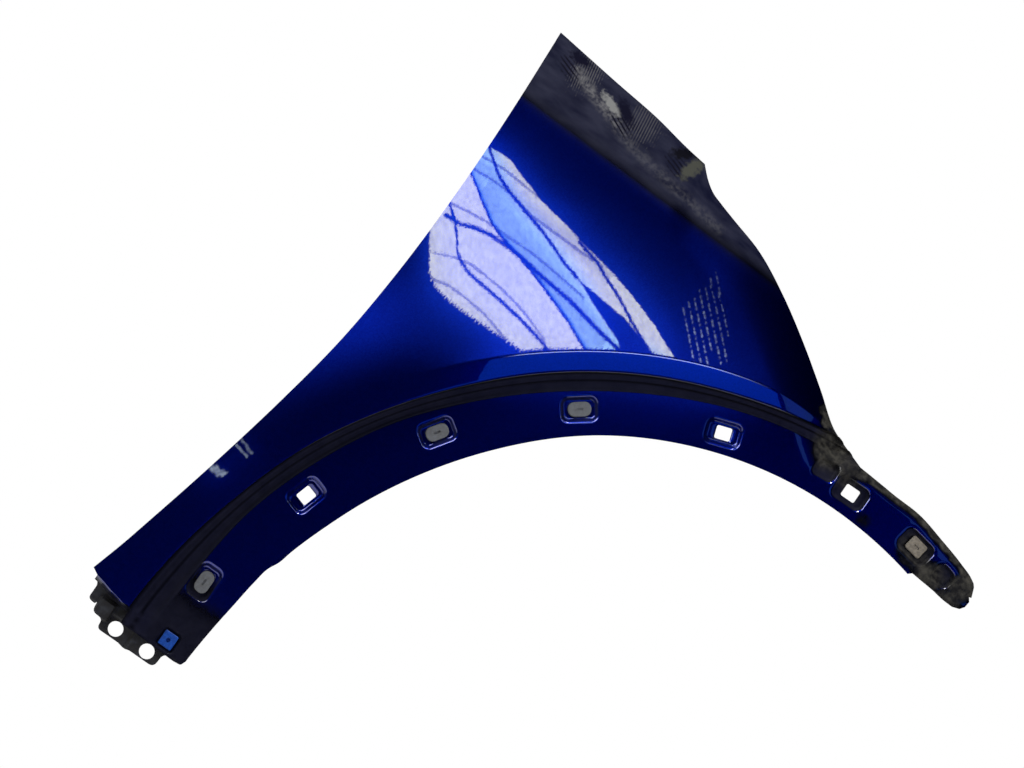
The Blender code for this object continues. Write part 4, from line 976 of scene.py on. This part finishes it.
def card_finish(name, tints):
    """Glow of a light card, as bright as the mask "light" says and as blue as "cool" says."""
    card = Nodes(bpy.data.materials.new(name))
    card.tree.nodes.clear()
    ramp = card.add("ShaderNodeValToRGB", {"Fac": card.mask("cool")})
    stops = ramp.color_ramp.elements
    for place, tint in tints:
        stop = stops.new(place) if 0.0 < place < 1.0 else stops[round(place) * (len(stops) - 1)]
        stop.color = (*tint, 1.0)
    if len(tints) == 1:
        stops.remove(stops[1])
    grain = card.noise(LIGHT_GRAIN, 3.0)
    level = card.spread(grain, *MIDDLE, WINDOW_STRENGTH * LIGHT_GRAIN_LOW, WINDOW_STRENGTH)
    strength = card.calculate("MULTIPLY", card.mask("light"), level)
    glow = card.add("ShaderNodeEmission", {"Color": ramp.outputs["Color"], "Strength": strength})
    card.add("ShaderNodeOutputMaterial", {"Surface": glow.outputs[0]})
    return card.owner


# How much of each kind of dirt, painted shade and painted highlight lies at a place on the outer face, from 0
# to 1

def dust_share(x, z):
    """Dust in the groove and on the foot."""
    angle, share = wheel_place(x, z)
    across = across_groove(angle, share)
    above, below = across + GROOVE_DUST_SPILL[0], 1.0 + GROOVE_DUST_SPILL[1] - across
    groove = eased(above / GROOVE_DUST_EDGE_SHARE) * eased(below / GROOVE_DUST_EDGE_SHARE)
    groove = groove * (angle > ARM_TOP_SHARES[-1][0])
    sill = SILL_DUST * eased((SILL_DUST_TOP - z) / SILL_DUST_FADE)
    sill = sill * eased((across - SILL_DUST_START) / (1.0 - SILL_DUST_START))
    return np.maximum(groove, sill)


def shade_share(x, z):
    """Painted shade along the groove's two hollow lines."""
    across = across_groove(*wheel_place(x, z))
    shade = [1.0 - eased(np.abs(across - line) / GROOVE_SHADE_WIDTH) for line in GROOVE_SHADE_LINES]
    return np.max(shade, axis=0)


def grit_share(x, z):
    """Grey-brown grit on the front arm."""
    angle, share = wheel_place(x, z)
    grit = eased((FACET_WIDTH - below_arm_top(angle, share)) / SHEET) * (angle < ARM_TOP_SHARES[-1][0])
    for place, reach, amount in DIRT_SPOTS:
        grit = np.maximum(grit, amount * eased(2.0 - 2.0 * np.hypot(x - place[0], z - place[1]) / reach))
    return grit


def haze_and_shade_share(x, z):
    """Dull dark layer on the shoulder: dust, and painted shade for the dark that the glossy shoulder mirrors.
    """
    return HAZE_AND_SHADE_SHARE * eased((z - line_height(HAZE_AND_SHADE_LINE, x)) / HAZE_AND_SHADE_FADE)


def shoulder_highlight_share(x, z):
    """The painted highlight, a pale streak on the shoulder's dull layer."""
    start, end, drop = SHOULDER_HIGHLIGHT_FADE
    fade = 1.0 - drop * eased((x - start) / (end - start))
    return fade * line_glow(x, z, SHOULDER_HIGHLIGHT_LINE, *SHOULDER_HIGHLIGHT_REACH)


# Pieces

def put_in_scene(name, data):
    made = bpy.data.objects.new(name, data)
    bpy.context.scene.collection.objects.link(made)
    return made


def add_mask(mesh, name, values):
    values = np.asarray(values, dtype=np.float32)
    mesh.attributes.new(name, "FLOAT", "POINT").data.foreach_set("value", values)


def pressed_lines():
    """Lines that the sheet's triangles follow: rows across the groove, the crease, and the groove's rims."""
    head, foot, crease = BROW_EDGE_SHARES, FLANGE_HEAD_SHARES, CREASE_SHARES
    end = GROOVE_END - GROOVE_FADE / 2.0
    lines = []
    for across in np.linspace(0.0, GROOVE_ROWS_END, GROOVE_ROWS):
        table = [(angle, share + across * (float(curve_value(foot, angle)) - share)) for angle, share in head]
        lines.append(wheel_line(table, head[0][0], end))
    for offset in LINE_OFFSETS:
        lines.append(wheel_line(crease, crease[0][0], CREASE_END + CREASE_FADE, offset))
        if offset > 0.0:
            lines.append(wheel_line(head, head[0][0], end, offset))
            lines.append(wheel_line(foot, foot[0][0], end, -offset))
    lines.append(wheel_line(ARM_TOP_SHARES, ARM_TOP_SHARES[-1][0], ARM_TOP_SHARES[1][0], -FACET_WIDTH))
    return lines


def press_sheet(runs):
    """The pressing as an open sheet, with finer lines and rounder bends than the solid has."""
    outline = [place for run in runs.values() for place in run[1:]]
    pockets = clip_pockets()
    loops = [pocket.loop(share * pocket.wall) for pocket in pockets for share in POCKET_ROWS]
    holes = [pocket.outline(*pocket.hole) for pocket in pockets if pocket.hole]
    places, faces = flat_blank(outline, pressed_lines(), loops + holes, holes)
    depths = press_depth(places)
    for pocket in pockets:
        depths = pocket.sink(places, depths)
    return sheet_mesh(places, faces, depths)


def fold_edges(sheet, runs):
    """Turns the sheet's edges in, with the rims sharp and every other gentle bend smooth."""
    rims = {edge for name in (*RETURNS, "sill") for edge in free_edges(sheet, runs[name])}
    for name, width in RETURNS.items():
        fold(sheet, free_edges(sheet, runs[name], CORNER_RELIEF), lambda co, deep=width: (0.0, deep, 0.0))
    foot = free_edges(sheet, runs["sill"], CORNER_RELIEF / 2.0)
    fold(sheet, foot, lambda co: (0.0, SILL_RETURN, -SILL_LEAN))
    fold_hood_edge(sheet, runs["hood"])
    face_outboard(sheet)
    for edge in sheet.edges:
        edge.smooth = edge not in rims and edge.calc_face_angle(0.0) < SHARP_ANGLE


def build_panel(shift):
    """The painted pressing, which stands for the solid one."""
    runs = edge_runs()
    sheet = press_sheet(runs)
    fold_edges(sheet, runs)
    x, y, z = np.array([tuple(vert.co) for vert in sheet.verts]).T
    mesh = bpy.data.meshes.new("painted_panel")
    sheet.to_mesh(mesh)
    sheet.free()
    mesh.materials.append(paint_finish(shift))
    mesh.materials.append(inner_finish())
    mesh.shade_smooth()
    mesh.transform(Matrix.Translation(shift))
    # Folded edges and pocket floors, all deeper than the pressing, are dirty at the foot and the front
    deep = y > press_depth(np.stack((x, z), 1)) + SHEET
    folded = FOLD_DUST * deep * ((z < 0.0) | (x > FOLD_DUST_FRONT))
    add_mask(mesh, "dust", np.maximum(dust_share(x, z), folded))
    shares = {"shade": shade_share, "grit": grit_share, "haze_and_shade": haze_and_shade_share, "streak": shoulder_highlight_share}
    for name, share in shares.items():
        add_mask(mesh, name, share(x, z))
    panel = put_in_scene("painted_panel", mesh)
    gauge = panel.modifiers.new("gauge", "SOLIDIFY")
    gauge.thickness = SHEET
    gauge.offset = -1.0
    gauge.use_even_offset = True
    gauge.material_offset = 1
    gauge.material_offset_rim = 0
    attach(panel, "root")
    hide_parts("fender_panel")


def finish_nodes():
    """Gives the solids that stay their own finishes."""
    oval = plastic_finish("oval_grommet_plastic", OVAL_GREY, OVAL_DARK, OVAL_ROUGHNESS)
    finishes = {
        "oval_grommet_rear": oval,
        "oval_grommet_middle": oval,
        "oval_grommet_top": oval,
        "square_grommet": plastic_finish(
            "square_grommet_plastic", SQUARE_PALE, SQUARE_DARK, SQUARE_ROUGHNESS),
        "sill_clip": plastic_finish("sill_clip_plastic", CLIP_BLUE, CLIP_DARK, CLIP_ROUGHNESS),
        "sill_bracket": bracket_finish(),
    }
    for name, finish in finishes.items():
        frame["nodes"][name].data.materials[0] = finish


# Brightness of what the skin mirrors, at flat places on the skin. The bare factors in these functions only
# make the edges and the dashes uneven.

def line_glow(x, z, line, above, below):
    """1 on and near a hand-drawn line, down to 0 at its reach above and below it."""
    height = z - line_height(line, x)
    ends = (x > line[0][0]) & (x < line[-1][0])
    share = np.where(height > 0.0, height / above, -height / below)
    core = LINE_CORE_SHARE * (max(above, below) < LINE_CORE_REACH)
    return ends * (1.0 - eased((share - core) / (1.0 - core)))


def ragged(x):
    """Fine uneven saw from -1 to 1 along the panel, for the frayed edges of mirrored things."""
    return 0.6 * np.sin(x / RAGGED_PITCH) + 0.4 * np.sin(0.61 * x / RAGGED_PITCH + 3.0 * np.sin(60.0 * x))


def window_light(places):
    """The window, with its bars and the gap between its panes."""
    x, z = places.T
    foot = line_height(WINDOW_FOOT, x) + RAGGED_FOOT * (ragged(x) + 0.2)
    light = eased((line_height(WINDOW_TOP, x) - z) / WINDOW_EDGE) * eased((z - foot) / WINDOW_EDGE)
    frayed = z + RAGGED_HEIGHT * ragged(x + z)
    for line, above, below, depth in WINDOW_BARS:
        light = light * (1.0 - depth * line_glow(x, frayed, line, above, below))
    upper, lower = (line_height(line, x) for line in WINDOW_GAP)
    gap = (x > WINDOW_GAP[0][0][0]) * eased((upper - z) / WINDOW_EDGE) * eased((z - lower) / WINDOW_EDGE)
    return light * (1.0 - gap)


def window_cool(places):
    """How blue the window's light is, from 0 where it is white to 1 just above its middle bar."""
    x, z = places.T
    height = z - line_height(MIDDLE_BAR, x)
    deep = 1.0 - eased(height / WINDOW_DEEP)
    cool = 1.0 - eased((height - WINDOW_COOL[0]) / (WINDOW_COOL[1] - WINDOW_COOL[0]))
    return (height > 0.0) * 0.5 * (deep + cool)


def pixel_place(pixel, shift):
    """Flat place on the panel's side that a pixel of the photograph shows."""
    scale = VIEW_WIDTH / PHOTO_WIDTH
    right, up = (pixel[0] - PHOTO_WIDTH / 2.0) * scale, (PHOTO_HEIGHT / 2.0 - pixel[1]) * scale
    turn = math.radians(CAMERA_ROLL)
    return (VIEW_CENTRE[0] - shift.x + right * math.cos(turn) - up * math.sin(turn),
            VIEW_CENTRE[2] - shift.z + right * math.sin(turn) + up * math.cos(turn))


def marks_light(places, shift):
    """The scuffs by the door edge."""
    light = np.zeros(len(places))
    for start, end, reach, level in DOOR_MARKS:
        away = distance_to([pixel_place(start, shift), pixel_place(end, shift)], places)
        away = away / (reach * (1.0 + 0.4 * ragged(places @ (0.35, 0.22))))
        light = np.maximum(light, level * eased(1.6 - away) * (0.75 + 0.25 * ragged(places @ (0.5, -0.3))))
    return light


def streak_light(places):
    """The broken streaks beside the window's image."""
    along = (places - np.array(STREAK_START)) @ np.array(STREAK_AXIS)
    across = (places - np.array(STREAK_START)) @ np.array((-STREAK_AXIS[1], STREAK_AXIS[0]))
    line = np.round(across / STREAK_STEP)
    beside = np.abs(across - line * STREAK_STEP)
    along = along + STREAK_STAGGER * line
    dash = along / STREAK_DASH
    beat = 0.5 + 0.3 * np.sin(dash + 2.1 * line) + 0.3 * np.sin(dash * 0.37 + line ** 2)
    length = STREAK_LENGTH * (0.85 + 0.15 * np.sin(1.7 * line))
    kept = (along > 0.0) * (along < length) * (line >= 0) * (line < STREAK_COUNT)
    fade = (1.0 - STREAK_FADE_SHARE * line / STREAK_COUNT) * (0.35 + 0.65 * np.clip(along / length, 0.0, 1.0))
    return kept * fade * eased(1.3 - 1.3 * beside / STREAK_WIDTH) * np.clip(1.5 * beat - 0.3, 0.0, 1.0)


# Studio

def skin_mirror(places, camera, shift):
    """Where the camera's view stands a little way off the skin, after the skin mirrors it."""
    depth = press_depth(places)
    slope_x = (press_depth(places + (SHEET, 0.0)) - depth) / SHEET
    slope_z = (press_depth(places + (0.0, SHEET)) - depth) / SHEET
    normal = np.stack((slope_x, -np.ones(len(places)), slope_z), 1)
    normal /= np.linalg.norm(normal, axis=1)[:, None]
    point = np.stack((places[:, 0], depth, places[:, 1]), 1) + np.array(shift)
    view = point - np.array(camera)
    view /= np.linalg.norm(view, axis=1)[:, None]
    return point + CARD_DISTANCE * (view - 2.0 * np.sum(view * normal, axis=1)[:, None] * normal)


def stage_mesh(name, corners, faces, finish, shown=False):
    """A piece of the studio, which the camera doesn't see unless it is shown."""
    mesh = bpy.data.meshes.new(name)
    mesh.from_pydata([tuple(corner) for corner in corners], [], faces)
    mesh.materials.append(finish)
    made = put_in_scene(name, mesh)
    made.visible_camera = shown
    return made


def build_card(name, corners, columns, masks, use, tints):
    """Light card over a grid of corners, kept where all of a cell may be used and some of it is lit."""
    use = use.reshape(-1, columns)
    lit = (masks["light"] > LIT_LIMIT).reshape(-1, columns)
    faces = []
    for row in range(len(use) - 1):
        for column in range(columns - 1):
            cell = slice(row, row + 2), slice(column, column + 2)
            if use[cell].all() and lit[cell].any():
                first = row * columns + column
                faces.append((first, first + 1, first + columns + 1, first + columns))
    card = stage_mesh(name, corners, faces, card_finish(name + "_light", tints))
    for mask, share in masks.items():
        add_mask(card.data, mask, share)
    card.visible_shadow = False
    card.visible_diffuse = False


def window_grid():
    """Flat places over the window's image, from its foot to its top, and how many there are in a row."""
    xs = np.linspace(*WINDOW_REACH, round((WINDOW_REACH[1] - WINDOW_REACH[0]) / CARD_STEP))
    foot, top = line_height(WINDOW_FOOT, xs) - RAGGED_FOOT, line_height(WINDOW_TOP, xs)
    shares = np.linspace(0.0, 1.0, round(max(top - foot) / CARD_STEP))
    places = [(x, low + share * (high - low)) for share in shares for x, low, high in zip(xs, foot, top)]
    return np.array(places), len(xs)


def box_grid(left, low, right, high):
    """Flat places over a box, and how many there are in a row."""
    xs = np.arange(left, right, STREAK_GRID)
    return np.array([(x, z) for z in np.arange(low, high, STREAK_GRID) for x in xs]), len(xs)


def build_cards(camera, shift):
    """Lights whose mirror images lie on the skin where the photograph has them."""
    cards = (
        ("window_card", window_grid(), {"light": window_light, "cool": window_cool}, WINDOW_TINTS),
        ("streak_card", box_grid(*STREAK_BOX), {"light": streak_light}, STREAK_TINTS),
        ("door_card", box_grid(*DOOR_MARKS_BOX),
         {"light": lambda places: marks_light(places, shift)}, STREAK_TINTS),
    )
    for name, (places, columns), shares, tints in cards:
        masks = {mask: share(places) for mask, share in shares.items()}
        use = over_crease(*wheel_place(*places.T)) > CARD_CREASE_GAP
        build_card(name, skin_mirror(places, camera, shift), columns, masks, use, tints)
    build_crease_card(shift)


def build_crease_card(shift):
    """Strip of light along the crease, straight out from it."""
    xs = np.linspace(*CREASE_LIGHT_REACH, CREASE_LIGHT_STEPS)
    crease = wheel_line(CREASE_SHARES, CREASE_SHARES[0][0], CREASE_END + CREASE_FADE)
    zs = line_height(crease[::-1], xs)
    ys = press_depth(np.stack((xs, zs), 1)) - CARD_DISTANCE
    corners = [Vector((x, y, z + rise)) + shift
               for rise in CREASE_LIGHT_HEIGHTS for x, y, z in zip(xs, ys, zs)]
    light = eased((xs - xs[0]) / CREASE_LIGHT_FADE[0]) * eased((xs[-1] - xs) / CREASE_LIGHT_FADE[1])
    use = np.ones(len(corners), bool)
    build_card("crease_card", corners, len(xs), {"light": np.tile(light, 2)}, use, STREAK_TINTS)


def build_room():
    """Dark dome round the front of the part, open behind it, for the coat to mirror."""
    dark = Finish("dark_room", ROOM_GREY, 1.0)
    dark.set(Specular_IOR_Level=0.0)
    corners, faces = [], []
    for ring in range(ROOM_RINGS + 1):
        polar = ROOM_OPENING * ring / ROOM_RINGS
        for side in range(ROOM_SIDES):
            turn = math.tau * side / ROOM_SIDES
            across, up = math.sin(polar) * math.cos(turn), math.sin(polar) * math.sin(turn)
            corners.append(Vector(VIEW_CENTRE) + ROOM_RADIUS * Vector((across, -math.cos(polar), up)))
            if ring:
                here, ahead = ring * ROOM_SIDES + side, ring * ROOM_SIDES + (side + 1) % ROOM_SIDES
                faces.append((here - ROOM_SIDES, ahead - ROOM_SIDES, ahead, here))
    stage_mesh("dark_room", corners, faces, dark.owner)


def build_floor():
    """Plain pale floor under the part."""
    pale = Finish("pale_floor", FLOOR_GREY, FLOOR_ROUGHNESS[0])
    pale.set(Roughness=pale.spread(pale.noise(FLOOR_CLOUD), 0.0, 1.0, *FLOOR_ROUGHNESS))
    turns = [math.tau * step / FLOOR_SIDES for step in range(FLOOR_SIDES)]
    corners = [(VIEW_CENTRE[0] + FLOOR_RADIUS * math.cos(turn), FLOOR_RADIUS * math.sin(turn), FLOOR_HEIGHT)
               for turn in turns]
    stage_mesh("floor", corners, [tuple(range(FLOOR_SIDES))], pale.owner, shown=True)


def add_lamp(name, place, size, power, glossy, colour):
    """Soft square lamp aimed at the part."""
    data = bpy.data.lights.new(name, "AREA")
    data.size = size
    data.energy = power
    data.color = colour
    lamp = put_in_scene(name, data)
    lamp.location = place
    lamp.rotation_euler = (Vector(VIEW_CENTRE) - Vector(place)).to_track_quat("-Z", "Y").to_euler()
    lamp.visible_glossy = glossy
    lamp.visible_camera = False


def build_world():
    """White to the camera and in mirrors, and dim to everything else."""
    world = Nodes(bpy.data.worlds.new("studio"))
    bpy.context.scene.world = world.owner
    path = world.add("ShaderNodeLightPath", {}).outputs
    seen = world.calculate("MAXIMUM", path["Is Camera Ray"], path["Is Glossy Ray"])
    seen = world.calculate("MAXIMUM", seen, path["Is Transmission Ray"])
    background = world.tree.nodes["Background"].inputs
    world.feed(background["Color"], (1.0, 1.0, 1.0, 1.0))
    world.feed(background["Strength"], world.spread(seen, 0.0, 1.0, WORLD_LEVEL, 1.0))


def build_camera():
    """Long lens square on to the panel's side, rolled as the photograph is. Gives its place."""
    data = bpy.data.cameras.new("camera")
    data.sensor_width = SENSOR
    data.lens = SENSOR * CAMERA_DISTANCE / VIEW_WIDTH
    data.clip_end = 2.0 * CAMERA_DISTANCE
    camera = put_in_scene("camera", data)
    roll = math.radians(CAMERA_ROLL)
    right = Vector((math.cos(roll), 0.0, math.sin(roll)))
    up = Vector((-math.sin(roll), 0.0, math.cos(roll)))
    matrix = Matrix((right, up, right.cross(up))).transposed().to_4x4()
    matrix.translation = Vector(VIEW_CENTRE) + Vector((0.0, VIEW_DEPTH - CAMERA_DISTANCE, 0.0))
    camera.matrix_world = matrix
    bpy.context.scene.camera = camera
    return matrix.translation


def clear_scene():
    """Takes away whatever a new scene starts with, apart from the frame's solids."""
    keep = set(frame["nodes"].values())
    for made in list(bpy.context.scene.collection.all_objects):
        if made not in keep and made.name in ("Cube", "Light", "Camera"):
            bpy.data.objects.remove(made)


def main():
    clear_scene()
    shift = part_shift()
    build_panel(shift)
    finish_nodes()
    build_cards(build_camera(), shift)
    build_room()
    build_floor()
    build_world()
    for lamp in LAMPS:
        add_lamp(*lamp)


main()
bpy.context.scene.view_settings.view_transform = "Standard"
